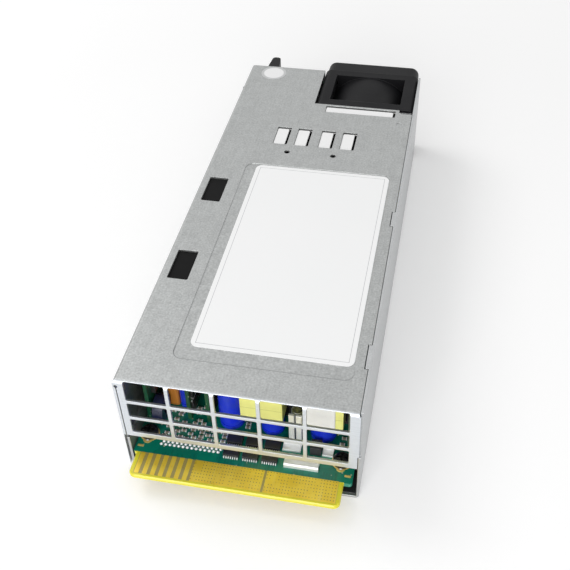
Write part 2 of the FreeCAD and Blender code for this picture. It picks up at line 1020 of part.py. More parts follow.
def filter_capacitor():
    """Slim grey capacitor between the transformer and the output choke."""
    x = right - transformer_right_inset + filter_capacitor_left_gap + filter_capacitor_radius
    return can(x, front + filter_capacitor_place, filter_capacitor_radius, filter_capacitor_height)


def standby_transformer():
    """Small taped transformer for the standby output."""
    x0 = left + standby_transformer_inset
    y0 = front + standby_transformer_start
    x1 = x0 + standby_transformer_width
    y1 = y0 + standby_transformer_length
    top = board_top + standby_transformer_height
    return rounded_plate(x0, x1, y0, y1, board_top, top, tape_corner)


def standby_inductor():
    """Small ring inductor standing beside the control board."""
    x0 = left + small_toroid_inset
    z = board_top + small_toroid_radius
    y = front + small_toroid_place
    return tube(x0, y, z, small_toroid_radius, small_toroid_hole, small_toroid_width, X_AXIS)


def core_ring(x0, x1, y0, y1, top):
    """Ferrite frame standing round a winding, open along Y."""
    frame = block(x0, x1, y0 + core_inset, y1 - core_inset, board_top, top)
    window = block(
        x0 + core_wall, x1 - core_wall, y0, y1, board_top + core_wall, top - core_wall
    )
    return frame.cut(window)


def core_winding(x0, x1, y0, y1, top):
    """Taped winding in the ferrite frame, reaching out of both sides over the capacitors."""
    edge = core_wall + core_gap
    x0 = x0 + edge
    x1 = x1 - edge
    z0 = board_top + short_capacitor_height + winding_cap_gap
    z1 = top - edge
    y = (y0 + y1) / 2
    body = block(x0, x1, y0, y1, z0, z1)
    return rounded(body, tape_corner, [Vector(x, y, z) for x in (x0, x1) for z in (z0, z1)])


def transformer_span():
    """Outside of the main transformer: X0, X1, Y0, Y1 and top."""
    y0 = front + wound_part_start
    return (
        left + transformer_left_inset, right - transformer_right_inset,
        y0, y0 + wound_part_length, top_inside - wound_top_gap,
    )


def output_choke_span():
    """Outside of the output choke: X0, X1, Y0, Y1 and top."""
    y0 = front + wound_part_start
    return (
        right - choke_left_inset, right - choke_right_inset,
        y0, y0 + wound_part_length, top_inside - wound_top_gap,
    )


def resonant_choke():
    """Taped choke behind the main transformer."""
    x0 = left + resonant_choke_inset
    x1 = right - toroid_right_inset - toroid_outer - winding_build - resonant_choke_gap
    y0 = transformer_span()[3] + part_gap
    y1 = y0 + resonant_choke_length
    return rounded_plate(x0, x1, y0, y1, board_top, board_top + resonant_choke_height, tape_corner)


def toroid_core(x, y, outer, hole, width, axis):
    """Ring core, its middle at half its width."""
    z = board_top + outer + winding_build
    if axis == Z_AXIS:
        z = board_top + winding_build
        return tube(x, y, z, outer, hole, width, axis)
    return tube(x, y - width / 2, z, outer, hole, width, axis)


def toroid_winding(x, y, outer, hole, width, axis):
    """Winding wrapped round a ring core, open at the top or at both ends."""
    build = winding_build
    gap = core_gap
    if axis == Z_AXIS:
        z = board_top
        shell = tube(x, y, z, outer + build, hole - build, width + 2 * build, axis)
        core = tube(x, y, z + build - gap, outer + gap, hole - gap, width + 2 * gap, axis)
        reach = outer + 2 * build
        opening = block(x - build, x + build, y - reach, y + reach, z - over, z + width + 3 * build)
        return shell.cut([core, opening])
    z = board_top + outer + build
    y0 = y - width / 2
    shell = tube(x, y0 - build, z, outer + build, hole - build, width + 2 * build, axis)
    core = tube(x, y0 - gap, z, outer + gap, hole - gap, width + 2 * gap, axis)
    half = (outer + 2 * build) * math.tan(math.radians(winding_opening / 2))
    top = z + outer + 2 * build
    opening = outline([
        Vector(x, y0 - 2 * build, z),
        Vector(x - half, y0 - 2 * build, top),
        Vector(x + half, y0 - 2 * build, top),
    ], Vector(0, width + 4 * build, 0))
    return shell.cut([core, opening])


def pfc_choke_place():
    """Size and place of the large ring choke."""
    y = transformer_span()[3] + part_gap + resonant_choke_length / 2
    return right - toroid_right_inset, y, toroid_outer, toroid_hole, toroid_width, Y_AXIS


def emi_choke_place():
    """Size and place of the ring choke by the mains inlet."""
    y = board_rear - emi_place
    return left + emi_left_inset, y, emi_outer, emi_hole, emi_width, Z_AXIS


def heatsink_span():
    """Ends of the heatsink along Y."""
    return front + heatsink_start, board_rear - emi_place - emi_outer - winding_build - part_gap


def primary_heatsink():
    """Aluminium plate with fins that carries the switching transistors."""
    x0 = package_face - heatsink_thickness
    y0, y1 = heatsink_span()
    top = top_inside - heatsink_top_gap
    sink = block(x0, package_face, y0, y1, board_top, top)
    fin_pitch = (top - board_top) / heatsink_fins
    fins = []
    for index in range(heatsink_fins):
        z0 = board_top + fin_pitch / 2 + index * fin_pitch
        fins.append(block(
            x0 - heatsink_fin_reach, x0 + heatsink_thickness / 2, y0, y1,
            z0, z0 + heatsink_fin_thickness,
        ))
    return sink.fuse(fins).removeSplitter()


def power_transistors():
    """Switching transistors pressed against the heatsink, up to the mains rectifier."""
    y0, y1 = heatsink_span()
    pitch = (y1 - bridge_length - package_bridge_gap - y0) / package_count
    z0 = board_top + package_lift
    packages = []
    for index in range(package_count):
        start = y0 + package_start_gap + index * pitch
        packages.append(block(
            package_face, package_face + package_thickness, start, start + pitch - package_gap,
            z0, z0 + package_height,
        ))
    return group(packages)


def bridge_rectifier():
    """Mains rectifier at the inlet end of the heatsink."""
    y1 = heatsink_span()[1]
    return block(
        package_face, package_face + bridge_thickness, y1 - bridge_length, y1,
        board_top, board_top + package_height,
    )


def bulk_capacitors():
    """Two large mains capacitors lying side by side along the case."""
    y0 = pfc_choke_place()[1] + toroid_width / 2 + winding_build + part_gap
    y1 = board_rear - rear_row_place
    z = board_top + bulk_radius
    cans = []
    for x in (bulk_left + bulk_radius, bulk_right - bulk_radius):
        body = rod(x, y0, z, bulk_radius, y1 - y0, Y_AXIS)
        groove = tube(
            x, y0 + bulk_groove_place, z, bulk_radius + over, bulk_radius - bulk_groove,
            2 * bulk_groove, Y_AXIS,
        )
        cans.append(body.cut(groove))
    return group(cans)


def x_capacitor():
    """Box capacitor across the mains."""
    y0 = board_rear - rear_row_place + rear_row_gap
    return block(
        bulk_right - x_capacitor_width, bulk_right, y0, y0 + x_capacitor_length,
        board_top, board_top + x_capacitor_height,
    )


def relay():
    """Relay that bypasses the inrush limiter."""
    x1 = bulk_right - x_capacitor_width - rear_row_gap
    y0 = board_rear - rear_row_place + rear_row_gap
    return block(x1 - relay_width, x1, y0, y0 + relay_length, board_top, board_top + relay_height)


def fuse():
    """Tube fuse with its two end caps, lying across the board."""
    x1 = bulk_right - x_capacitor_width - rear_row_gap
    y = board_rear - rear_row_place + 2 * rear_row_gap + relay_length + fuse_radius
    z = board_top + fuse_radius
    cap = fuse_cap_length
    body_length = fuse_length - 2 * cap
    pieces = [rod(x1 - fuse_length, y, z, fuse_radius, cap, X_AXIS)]
    pieces.append(rod(x1 - fuse_length + cap, y, z, fuse_glass_radius, body_length, X_AXIS))
    pieces.append(rod(x1 - cap, y, z, fuse_radius, cap, X_AXIS))
    return pieces[0].multiFuse(pieces[1:])


def fan_header():
    """Small plug socket for the fan's lead."""
    x1 = right - board_screw_right_inset - board_screw_head_radius - header_screw_gap
    x0 = x1 - header_width
    y1 = board_rear - header_wall
    y0 = y1 - header_length
    shell = block(x0, x1, y0, y1, board_top, board_top + header_height)
    hollow = block(
        x0 + header_wall, x1 - header_wall, y0 + header_wall, y1 - header_wall,
        board_top + header_wall, board_top + header_height + over,
    )
    return shell.cut(hollow)


# ---- Fan -------------------------------------------------------------------------

def fan_frame():
    """Square fan housing with two flanges, corner posts, motor plate and struts."""
    y0 = fan_front
    y1 = fan_rear
    half = fan_size / 2
    x0 = fan_x - half
    x1 = fan_x + half
    body = rod(fan_x, y0, fan_z, fan_barrel_radius, fan_depth, Y_AXIS)
    solids = [
        rounded_frame(x0, x1, y0, y0 + fan_flange, 0, fan_size, fan_corner_radius),
        rounded_frame(x0, x1, y1 - fan_flange, y1, 0, fan_size, fan_corner_radius),
    ]
    corner = rounded_frame(x0, x1, y0, y1, 0, fan_size, fan_corner_radius)
    across = block(x0 - over, x1 + over, y0, y1, fan_post_width, fan_size - fan_post_width)
    upright = block(x0 + fan_post_width, x1 - fan_post_width, y0, y1, -over, fan_size + over)
    solids.append(corner.cut([across, upright]))
    body = body.fuse(solids)
    cuts = [rod(fan_x, y0 - over, fan_z, fan_bore_radius, fan_depth + 2 * over, Y_AXIS)]
    for x, z in fan_corners():
        cuts.append(rod(x, y0 - over, z, fan_hole_radius, fan_depth + 2 * over, Y_AXIS))
    body = body.cut(cuts)
    plate_y = y1 - motor_plate_thickness
    motor = rod(fan_x, plate_y, fan_z, hub_radius, motor_plate_thickness, Y_AXIS)
    motor = motor.fuse(rod(fan_x, plate_y - tube_length, fan_z, tube_outer, tube_length + over, Y_AXIS))
    struts = []
    for index in range(strut_count):
        strut = block(
            fan_x, fan_x + (fan_bore_radius + fan_barrel_radius) / 2, plate_y, y1,
            fan_z - strut_width / 2, fan_z + strut_width / 2,
        )
        strut.rotate(Vector(fan_x, 0, fan_z), Y_AXIS, strut_turn + index * 360 / strut_count)
        struts.append(strut)
    body = body.fuse([motor, *struts])
    bearing_bore = rod(
        fan_x, plate_y - tube_length - over, fan_z, bearing_radius + shaft_gap, tube_length + over, Y_AXIS
    )
    return body.cut(bearing_bore).removeSplitter()


def blade_section(distance, turn):
    """Slanted flat section of a blade, at a distance from the axis."""
    half_length = blade_length / 2
    lean = half_length * math.tan(math.radians(turn))
    half_thick = blade_thickness / 2 / math.cos(math.radians(turn))
    y = hub_front + blade_front_gap + half_length
    points = [
        Vector(fan_x - lean - half_thick, y - half_length, fan_z + distance),
        Vector(fan_x - lean + half_thick, y - half_length, fan_z + distance),
        Vector(fan_x + lean + half_thick, y + half_length, fan_z + distance),
        Vector(fan_x + lean - half_thick, y + half_length, fan_z + distance),
    ]
    return Part.makePolygon([*points, points[0]])


def fan_rotor():
    """Hub with its twisted blades."""
    hub_length = hub_rear - hub_front
    tip = fan_bore_radius - fan_tip_gap
    root = blade_section(hub_radius - blade_root_depth, blade_root_turn)
    end = blade_section(fan_bore_radius + over, blade_tip_turn)
    blade = Part.makeLoft([root, end], True, True)
    swept = rod(fan_x, hub_front, fan_z, tip, hub_length, Y_AXIS)
    blade = blade.common(swept)
    blades = []
    for index in range(blade_count):
        turned = blade.copy()
        turned.rotate(Vector(fan_x, 0, fan_z), Y_AXIS, index * 360 / blade_count)
        blades.append(turned)
    hub = rod(fan_x, hub_front, fan_z, hub_radius, hub_length, Y_AXIS)
    hub = hub.fuse(blades)
    hollow = rod(
        fan_x, hub_front + hub_wall, fan_z, hub_radius - hub_wall, hub_length, Y_AXIS
    )
    bore = rod(fan_x, hub_front - over, fan_z, shaft_radius + press_gap, hub_length, Y_AXIS)
    return hub.cut([hollow, bore])


def fan_shaft():
    """Steel shaft from the hub through both bearings."""
    end = fan_rear - motor_plate_thickness - motor_plate_gap
    return rod(fan_x, hub_front, fan_z, shaft_radius, end - hub_front, Y_AXIS)


def fan_bearings():
    """Two ball bearings pressed into the ends of the motor tube."""
    plate_y = fan_rear - motor_plate_thickness
    starts = (plate_y - tube_length, plate_y - bearing_length)
    return group([
        tube(fan_x, y, fan_z, bearing_radius, shaft_radius + shaft_gap, bearing_length, Y_AXIS)
        for y in starts
    ])


def fan_stator():
    """Slotted stator on the motor tube, inside the hub."""
    y0 = fan_rear - motor_plate_thickness - tube_length + bearing_length
    ring = tube(fan_x, y0, fan_z, stator_radius, tube_outer + shaft_gap, stator_length, Y_AXIS)
    slots = []
    for index in range(stator_slots):
        slot = block(
            fan_x + stator_inner, fan_x + stator_radius + over, y0 - over, y0 + stator_length + over,
            fan_z - stator_slot_width / 2, fan_z + stator_slot_width / 2,
        )
        slot.rotate(Vector(fan_x, 0, fan_z), Y_AXIS, index * 360 / stator_slots)
        slots.append(slot)
    return ring.cut(slots)


def fan_bulkhead():
    """Upright plate in front of the fan that takes the ends of its screws."""
    x0 = fan_left + bend_inside
    x1 = fan_right - bend_inside
    top = top_inside - bulkhead_top_gap
    plate = block(x0, x1, fan_front - sheet, fan_front, sheet, top)
    foot = block(x0, x1, fan_front - bulkhead_foot, fan_front - sheet, sheet, 2 * sheet)
    plate = plate.fuse(foot).removeSplitter()
    y0 = fan_front - sheet - over
    through = sheet + 2 * over
    cuts = [rod(fan_x, y0, fan_z, fan_bore_radius - bulkhead_bore_inset, through, Y_AXIS)]
    for x, z in fan_corners():
        cuts.append(rod(x, y0, z, fan_screw_radius + shaft_gap, through, Y_AXIS))
    return plate.cut(cuts)


def fan_screws():
    """Long screws through the bezel and the fan into the bulkhead."""
    seat = fan_rear + bezel_plate
    length = seat - fan_front + sheet + fan_screw_end
    screws = []
    for x, z in fan_corners():
        shank = rod(x, seat - length, z, fan_screw_radius, length, Y_AXIS)
        head = rod(x, seat, z, fan_screw_head_radius, fan_screw_head_height, Y_AXIS)
        screws.append(shank.fuse(head))
    return group(screws)


def fan_bezel():
    """Deep grip bezel behind the fan, with a ring guard at its root."""
    half = bezel_half
    inner = half - bezel_wall
    y0 = fan_rear
    y1 = fan_rear + bezel_depth
    bezel = rounded_frame(fan_x - half, fan_x + half, y0, y1, fan_z - half, fan_z + half, bezel_corner)
    rim = [edge for edge in bezel.Edges if min(v.Y for v in edge.Vertexes) > y0 + bezel_plate]
    bezel = bezel.makeFillet(bezel_edge_round, rim)
    room = rounded_frame(
        fan_x - inner, fan_x + inner, y0 + bezel_plate, y1 + over, fan_z - inner, fan_z + inner,
        bezel_corner - bezel_wall / 2,
    )
    bezel = bezel.cut([room, rod(fan_x, y0 - over, fan_z, guard_opening_radius, bezel_depth, Y_AXIS)])
    guard = []
    ring_step = (guard_opening_radius - guard_inner_ring) / guard_ring_count
    for index in range(guard_ring_count):
        inside = guard_inner_ring + index * ring_step
        outside = inside + guard_ring_width
        guard.append(tube(fan_x, y0, fan_z, outside, inside, bezel_plate, Y_AXIS))
    for turn in (0, 90):
        spoke = block(
            fan_x - inner, fan_x + inner, y0, y0 + bezel_plate,
            fan_z - guard_spoke_width / 2, fan_z + guard_spoke_width / 2,
        )
        spoke.rotate(Vector(fan_x, 0, fan_z), Y_AXIS, turn)
        guard.append(spoke)
    bezel = bezel.fuse(guard)
    shank_hole = fan_screw_radius + fan_screw_head_gap
    head_hole = fan_screw_head_radius + fan_screw_head_gap
    cuts = []
    for x, z in fan_corners():
        cuts.append(rod(x, y0 - over, z, shank_hole, bezel_depth, Y_AXIS))
        cuts.append(rod(x, y0 + bezel_plate, z, head_hole, bezel_depth, Y_AXIS))
    return bezel.cut(cuts).removeSplitter()


# ---- AC inlet and status light ---------------------------------------------------

def inlet_profile(width, height, chamfer, y0, y1):
    """Inlet outline with its two upper corners cut off, pushed along Y."""
    x0 = inlet_x - width / 2
    x1 = inlet_x + width / 2
    z0 = inlet_z - height / 2
    z1 = inlet_z + height / 2
    return outline([
        Vector(x0, y0, z0), Vector(x1, y0, z0), Vector(x1, y0, z1 - chamfer),
        Vector(x1 - chamfer, y0, z1), Vector(x0 + chamfer, y0, z1), Vector(x0, y0, z1 - chamfer),
    ], Vector(0, y1 - y0, 0))


def inlet_outline(gap, y0, y1):
    """Body of the inlet, grown by a gap for its cut-out."""
    width = inlet_body_width + 2 * gap
    height = inlet_body_height + 2 * gap
    return inlet_profile(width, height, inlet_chamfer, y0, y1)


def inlet_pins():
    """Live, neutral and earth pins with their tails."""
    y0 = rear - inlet_body_depth - inlet_pin_tail
    y1 = rear + inlet_flange - inlet_pin_recess
    pins = []
    for side, rise in ((-1, -1), (0, 1), (1, -1)):
        x = inlet_x + side * inlet_pin_spread
        z = inlet_z + rise * inlet_earth_rise
        pins.append(block(
            x - inlet_pin_width / 2, x + inlet_pin_width / 2, y0, y1,
            z - inlet_pin_height / 2, z + inlet_pin_height / 2,
        ))
    return group(pins)


def ac_inlet():
    """Moulded mains socket with its flange outside the rear wall."""
    flange = rounded_frame(
        inlet_left, inlet_left + inlet_width, rear, rear + inlet_flange, inlet_rise, inlet_top,
        inlet_corner,
    )
    body = inlet_outline(0, rear - inlet_body_depth, rear + inlet_body_lap)
    cavity = inlet_profile(
        inlet_cavity_width, inlet_cavity_height, inlet_chamfer,
        rear + inlet_flange - inlet_cavity_depth, rear + inlet_flange + over,
    )
    return flange.fuse(body).removeSplitter().cut([cavity, *inlet_pins().Solids])


def status_led():
    """Light pipe pushed through the rear wall from inside."""
    lens = rod(led_x, rear - led_length, led_z, led_radius, led_length + led_lens_height, Y_AXIS)
    collar_y = rear - sheet - led_collar_depth
    collar = rod(led_x, collar_y, led_z, led_flange_radius, led_collar_depth, Y_AXIS)
    return lens.fuse(collar).removeSplitter()


# ---- Release latch ---------------------------------------------------------------

def latch_rear_slot():
    """Slot in the rear wall that lets the lever swing."""
    travel = latch_pivot_place * math.tan(math.radians(latch_swing))
    reach = latch_tab_width / 2 + latch_slot_gap
    return block(
        tab_x - reach, tab_x + travel + reach, rear - sheet - over, rear + over,
        latch_bottom - latch_slot_gap, latch_top + latch_slot_gap,
    )


def latch_side_slot():
    """Slot in the left wall that lets the hook out."""
    return block(
        left - over, left_inside + over, hook_y - latch_hook_gap,
        hook_y + latch_hook_length + latch_hook_gap,
        latch_bottom - latch_slot_gap, latch_top + latch_slot_gap,
    )


def latch_lever():
    """Lever with its pivot eye, side hook and thumb tab."""
    half = latch_arm / 2
    tab_half = latch_tab_width / 2
    hook_end = hook_y + latch_hook_length
    tip = rear + latch_tab_reach
    height = latch_top - latch_bottom
    plan = [
        (pivot_x - half, pivot_y),
        (pivot_x - half, hook_y),
        (left - latch_hook_reach, hook_end - half),
        (left - latch_hook_reach, hook_end),
        (pivot_x - half, hook_end),
        (pivot_x - half, rear - latch_jog_start),
        (tab_x - tab_half, rear - latch_jog_end),
        (tab_x - tab_half, tip - latch_arm),
        (tab_x + tab_half, tip - latch_arm),
        (tab_x + tab_half, rear - latch_jog_end - half),
        (pivot_x + half, rear - latch_jog_start - half),
        (pivot_x + half, pivot_y),
    ]
    arm = outline([Vector(x, y, latch_bottom) for x, y in plan], Vector(0, 0, height))
    eye = rod(pivot_x, pivot_y, latch_bottom, latch_eye_radius, height, Z_AXIS)
    lever = arm.fuse(eye)
    step = block(
        pivot_x - latch_eye_radius - over, pivot_x + latch_eye_radius + over,
        pivot_y - latch_eye_radius - over, pivot_y + spring_step,
        latch_top - spring_room, latch_top + over,
    )
    bore = rod(pivot_x, pivot_y, 0, latch_pin_radius + latch_pin_gap, case_height, Z_AXIS)
    return lever.cut([step, bore]).fuse(thumb_tab()).removeSplitter()


def thumb_tab():
    """Tapered tab with a rounded end, taller than the arm that carries it."""
    base = latch_tab_base_width / 2
    end = latch_tab_width / 2
    y0 = rear + latch_slot_gap + over
    y1 = rear + latch_tab_reach
    z0 = inlet_top + latch_tab_inlet_gap
    z1 = case_height - latch_tab_top_gap
    tab = outline([
        Vector(tab_x - base, y0, z0), Vector(tab_x + base, y0, z0),
        Vector(tab_x + end, y1, z0), Vector(tab_x - end, y1, z0),
    ], Vector(0, 0, z1 - z0))
    middle = (z0 + z1) / 2
    corners = [Vector(tab_x + side * end, y1, middle) for side in (-1, 1)]
    return rounded(tab, end - latch_tab_flat, corners)


def latch_bracket():
    """Folded bracket on the left wall whose two ears hold the pivot pin."""
    low = latch_bottom - latch_ear_gap - latch_ear
    high = latch_top + latch_ear_gap
    y0 = pivot_y - latch_ear_reach
    y1 = pivot_y + latch_ear_reach
    back = block(left_inside, left_inside + latch_ear, y0, y1, low, high + latch_ear)
    ears = [
        block(left_inside, pivot_x + latch_ear_reach, y0, y1, z, z + latch_ear) for z in (low, high)
    ]
    bore = rod(pivot_x, pivot_y, 0, latch_pin_radius + press_gap, case_height, Z_AXIS)
    return back.fuse(ears).removeSplitter().cut(bore)


def latch_pin():
    """Pivot pin with a flat head over each ear."""
    low = latch_bottom - latch_ear_gap - latch_ear
    high = latch_top + latch_ear_gap + latch_ear
    shank = rod(pivot_x, pivot_y, low, latch_pin_radius, high - low, Z_AXIS)
    head = latch_pin_radius + latch_pin_head
    heads = [
        rod(pivot_x, pivot_y, low - latch_pin_head, head, latch_pin_head, Z_AXIS),
        rod(pivot_x, pivot_y, high, head, latch_pin_head, Z_AXIS),
    ]
    return shank.fuse(heads)


def spring_path():
    """Points along the latch spring: a leg, the turns round the pin, and a leg."""
    room = spring_room - 2 * latch_ear_gap - 2 * spring_wire
    z0 = latch_top - spring_room + latch_ear_gap + spring_wire
    steps = round(spring_turns * spring_steps_per_turn)
    path = [Vector(pivot_x + spring_radius, pivot_y + spring_leg, z0)]
    for index in range(steps + 1):
        turn = 2 * math.pi * index / spring_steps_per_turn
        path.append(Vector(
            pivot_x + spring_radius * math.cos(turn), pivot_y - spring_radius * math.sin(turn),
            z0 + room * index / steps,
        ))
    path.append(Vector(path[-1].x, pivot_y + spring_leg, z0 + room))
    return path


def latch_spring():
    """Torsion spring coiled round the pin, with a short leg at each end."""
    path = spring_path()
    sections = []
    for index, point in enumerate(path):
        before = path[max(index - 1, 0)]
        after = path[min(index + 1, len(path) - 1)]
        side = (after - before).cross(Z_AXIS).normalize() * spring_wire
        up = Z_AXIS * spring_wire
        corners = [point - side - up, point + side - up, point + side + up, point - side + up]
        sections.append(Part.makePolygon([*corners, corners[0]]))
    return Part.makeLoft(sections, True, True)


# ---- Every sub-part and its file -------------------------------------------------

MAKERS = (
    base_tray, top_cover, cover_screws, rating_label, seal_sticker, window_film, window_sheet,
    main_board, signal_fingers, ground_pads, power_pads, standoffs, board_screws, base_insulator,
    output_transistors, output_bus_bars, ferrite_bead,
    control_board, control_chips, rectifier_boards, sense_board,
    output_capacitors, filter_capacitor, standby_transformer, standby_inductor,
    resonant_choke, primary_heatsink, power_transistors, bridge_rectifier, bulk_capacitors,
    x_capacitor, relay, fuse, fan_header,
    fan_frame, fan_rotor, fan_shaft, fan_bearings, fan_stator, fan_bulkhead, fan_screws, fan_bezel,
    ac_inlet, inlet_pins, status_led,
    latch_lever, latch_bracket, latch_pin, latch_spring,
)

WOUND_PARTS = {
    "transformer_core": core_ring(*transformer_span()),
    "transformer_winding": core_winding(*transformer_span()),
    "output_choke_core": core_ring(*output_choke_span()),
    "output_choke_winding": core_winding(*output_choke_span()),
    "pfc_choke_core": toroid_core(*pfc_choke_place()),
    "pfc_choke_winding": toroid_winding(*pfc_choke_place()),
    "emi_choke_core": toroid_core(*emi_choke_place()),
    "emi_choke_winding": toroid_winding(*emi_choke_place()),
}

os.makedirs("parts", exist_ok=True)
for maker in MAKERS:
    maker().exportStep(f"parts/{maker.__name__}.step")
for name, shape in WOUND_PARTS.items():
    shape.exportStep(f"parts/{name}.step")
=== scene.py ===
"""Looks of a hot swap server power supply: folded steel case, card edge, board and fan."""
import math

import bmesh
import bpy
import numpy as np
from mathutils import Matrix, Vector


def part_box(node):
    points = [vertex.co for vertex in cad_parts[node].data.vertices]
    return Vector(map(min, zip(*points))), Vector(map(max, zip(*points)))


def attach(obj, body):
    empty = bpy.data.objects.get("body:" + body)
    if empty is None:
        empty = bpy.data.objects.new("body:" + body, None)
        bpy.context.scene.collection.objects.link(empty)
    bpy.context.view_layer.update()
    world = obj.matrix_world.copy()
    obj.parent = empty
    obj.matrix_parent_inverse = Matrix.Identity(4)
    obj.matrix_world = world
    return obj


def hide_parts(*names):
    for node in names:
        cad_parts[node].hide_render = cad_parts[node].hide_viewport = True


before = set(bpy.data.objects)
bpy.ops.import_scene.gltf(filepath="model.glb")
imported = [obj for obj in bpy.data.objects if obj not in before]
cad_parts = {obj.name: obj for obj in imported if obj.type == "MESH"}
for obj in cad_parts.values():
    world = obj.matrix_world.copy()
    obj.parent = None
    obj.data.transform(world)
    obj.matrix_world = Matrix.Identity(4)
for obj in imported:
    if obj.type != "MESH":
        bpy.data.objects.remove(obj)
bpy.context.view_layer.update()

# ---- Camera
# Looks down on the card edge from the front, a little to the right. Its lens is a little long
# and it stands at arm's length, so that the case narrows slightly to the rear.

eye = Vector((0.0499, -0.2456, 0.2328))
look_left = math.radians(12.56)
look_down = math.radians(43.04)
lean = math.radians(-1.88)

scene = bpy.context.scene
lens = bpy.data.cameras.new("bench_camera")
lens.lens = 55.55
lens.sensor_width = 36.0
lens.clip_start = 0.01
camera = bpy.data.objects.new("bench_camera", lens)
aim = Matrix.Rotation(look_left, 4, "Z") @ Matrix.Rotation(math.pi / 2 - look_down, 4, "X")
camera.matrix_world = Matrix.Translation(eye) @ aim @ Matrix.Rotation(lean, 4, "Z")
scene.collection.objects.link(camera)
scene.camera = camera


# ---- Folded tray: floor, right wall, rear wall and low left lip
# Hot-dip galvanised steel, 0.8 mm thick, punched flat and folded. Its zinc skin has fine
# flakes, and its rounded edges carry a thin painted highlight.

def put(socket, value):
    """Joins a socket to another node's output, or sets it to a value; a colour gets its alpha."""
    if isinstance(value, bpy.types.NodeSocket):
        socket.id_data.links.new(value, socket)
    elif value is not None:
        socket.default_value = (*value, 1) if socket.type == "RGBA" else value


def node(kind, inputs, tree=None, **settings):
    """Shader node of one kind with its settings and inputs, by default in its inputs' tree."""
    joined = [value for value in inputs.values() if isinstance(value, bpy.types.NodeSocket)]
    made = (tree or joined[0].id_data).nodes.new("ShaderNode" + kind)
    for name, value in settings.items():
        setattr(made, name, value)
    for name, value in inputs.items():
        put(made.inputs[name], value)
    return made


def number(operation, first, second=0.0, third=0.0):
    """Result of one sum on numbers that change over the surface."""
    return node("Math", {0: first, 1: second, 2: third}, operation=operation).outputs[0]


def vector(operation, first, second=None, output="Vector"):
    """Result of one sum on places or directions."""
    return node("VectorMath", {0: first, 1: second}, operation=operation).outputs[output]


def between(share, first, second):
    """Colour that goes from the first to the second as the share goes from 0 to 1."""
    return node("Mix", {0: share, 6: first, 7: second}, data_type="RGBA").outputs[2]


def steps(value, low, high):
    """Value stretched so that low becomes 0 and high becomes 1, and held there."""
    inputs = {"Value": value, "From Min": low, "From Max": high}
    return node("MapRange", inputs).outputs["Result"]


def noise(place, scale, detail=2.0):
    """Soft random value from 0 to 1 whose patches are about one over the scale across."""
    inputs = {"Vector": place, "Scale": scale, "Detail": detail}
    return node("TexNoise", inputs).outputs["Fac"]


def stretched(place, scale):
    """Place scaled along each axis, so that a pattern runs long one way."""
    return node("Mapping", {"Vector": place, "Scale": scale}).outputs["Vector"]


def streaks(place, scale):
    """Noise with a scale of its own along each axis."""
    return noise(stretched(place, scale), 1.0)


def cells(place, scale, randomness=1.0, **settings):
    """Outputs of a pattern of random cells, each about one over the scale across."""
    inputs = {"Vector": place, "Scale": scale, "Randomness": randomness}
    return node("TexVoronoi", inputs, **settings).outputs


def channel(color, name):
    """One channel of a colour, here the random value that a cell has to itself."""
    return node("SeparateColor", {"Color": color}).outputs[name]


def toned(tone, value, depth):
    """Tone times one plus a value times its depth."""
    bright = number("MULTIPLY_ADD", value, depth, 1.0)
    return node("VectorMath", {0: tone, 3: bright}, operation="SCALE").outputs["Vector"]


def new_group(name, inputs, outputs):
    """Empty shader group with named sockets of each kind, and its inner ends."""
    group = bpy.data.node_groups.new(name, "ShaderNodeTree")
    for way, sockets in (("INPUT", inputs), ("OUTPUT", outputs)):
        for label, kind in sockets.items():
            group.interface.new_socket(label, in_out=way, socket_type="NodeSocket" + kind)
    given = group.nodes.new("NodeGroupInput").outputs
    result = group.nodes.new("NodeGroupOutput").inputs
    return group, given, result


def rounded_edge_highlight_group():
    """Normals rounded over sharp edges, and a mask that is 1 on those edges, where a painted
    highlight goes.
    """
    group, given, result = new_group(
        "rounded_edge_highlight", {"Width": "Float"}, {"Normal": "Vector", "Edge": "Float"}
    )
    rounded = node("Bevel", {"Radius": given["Width"]}, samples=6).outputs["Normal"]
    flat = node("NewGeometry", {}, group).outputs["Normal"]
    alike = vector("DOT_PRODUCT", rounded, flat, "Value")
    put(result["Normal"], rounded)
    put(result["Edge"], steps(alike, 0.985, 0.86))
    return group


def zinc_group():
    """Zinc skin: tone times flakes, rolled grain and slow clouds, with its roughness and height."""
    group, given, result = new_group(
        "zinc_skin", {"Place": "Vector", "Tone": "Color", "Flake": "Float", "Depth": "Float"},
        {"Color": "Color", "Roughness": "Float", "Height": "Float"},
    )
    place = given["Place"]
    flake = channel(cells(place, given["Flake"])["Color"], "Red")
    grain = noise(place, 1600.0, 3.0)
    cloud = noise(place, 38.0, 3.0)
    rolled = streaks(place, (1500.0, 60.0, 1500.0))
    total = -1.55
    for value, weight in ((grain, 2.2), (flake, 0.25), (cloud, 0.15), (rolled, 0.5)):
        total = number("MULTIPLY_ADD", value, weight, total)
    put(result["Color"], toned(given["Tone"], total, given["Depth"]))
    put(result["Roughness"], number("MULTIPLY_ADD", flake, 0.04, 0.40))
    put(result["Height"], number("MULTIPLY_ADD", rolled, 0.5, grain))
    return group


rounded_edge_highlight = rounded_edge_highlight_group()
zinc_skin = zinc_group()


def new_material(name, roughness, metallic=0.0, **sockets):
    """Material with its shader's constants set, and the place of each point on the piece."""
    material = bpy.data.materials.new(name)
    material.use_nodes = True
    tree = material.node_tree
    shader = tree.nodes["Principled BSDF"]
    for socket, value in {"Roughness": roughness, "Metallic": metallic, **sockets}.items():
        shader.inputs[socket.replace("_", " ")].default_value = value
    return material, shader, node("TexCoord", {}, tree).outputs["Object"]


def finish(shader, color, height, relief, roughness=None, normal=None, rise=0.0001):
    """Joins colour, roughness and the bump of a height, over the normals given, to the shader."""
    inputs = {"Height": height, "Strength": relief, "Distance": rise, "Normal": normal}
    put(shader.inputs["Base Color"], color)
    put(shader.inputs["Roughness"], roughness)
    put(shader.inputs["Normal"], node("Bump", inputs).outputs["Normal"])


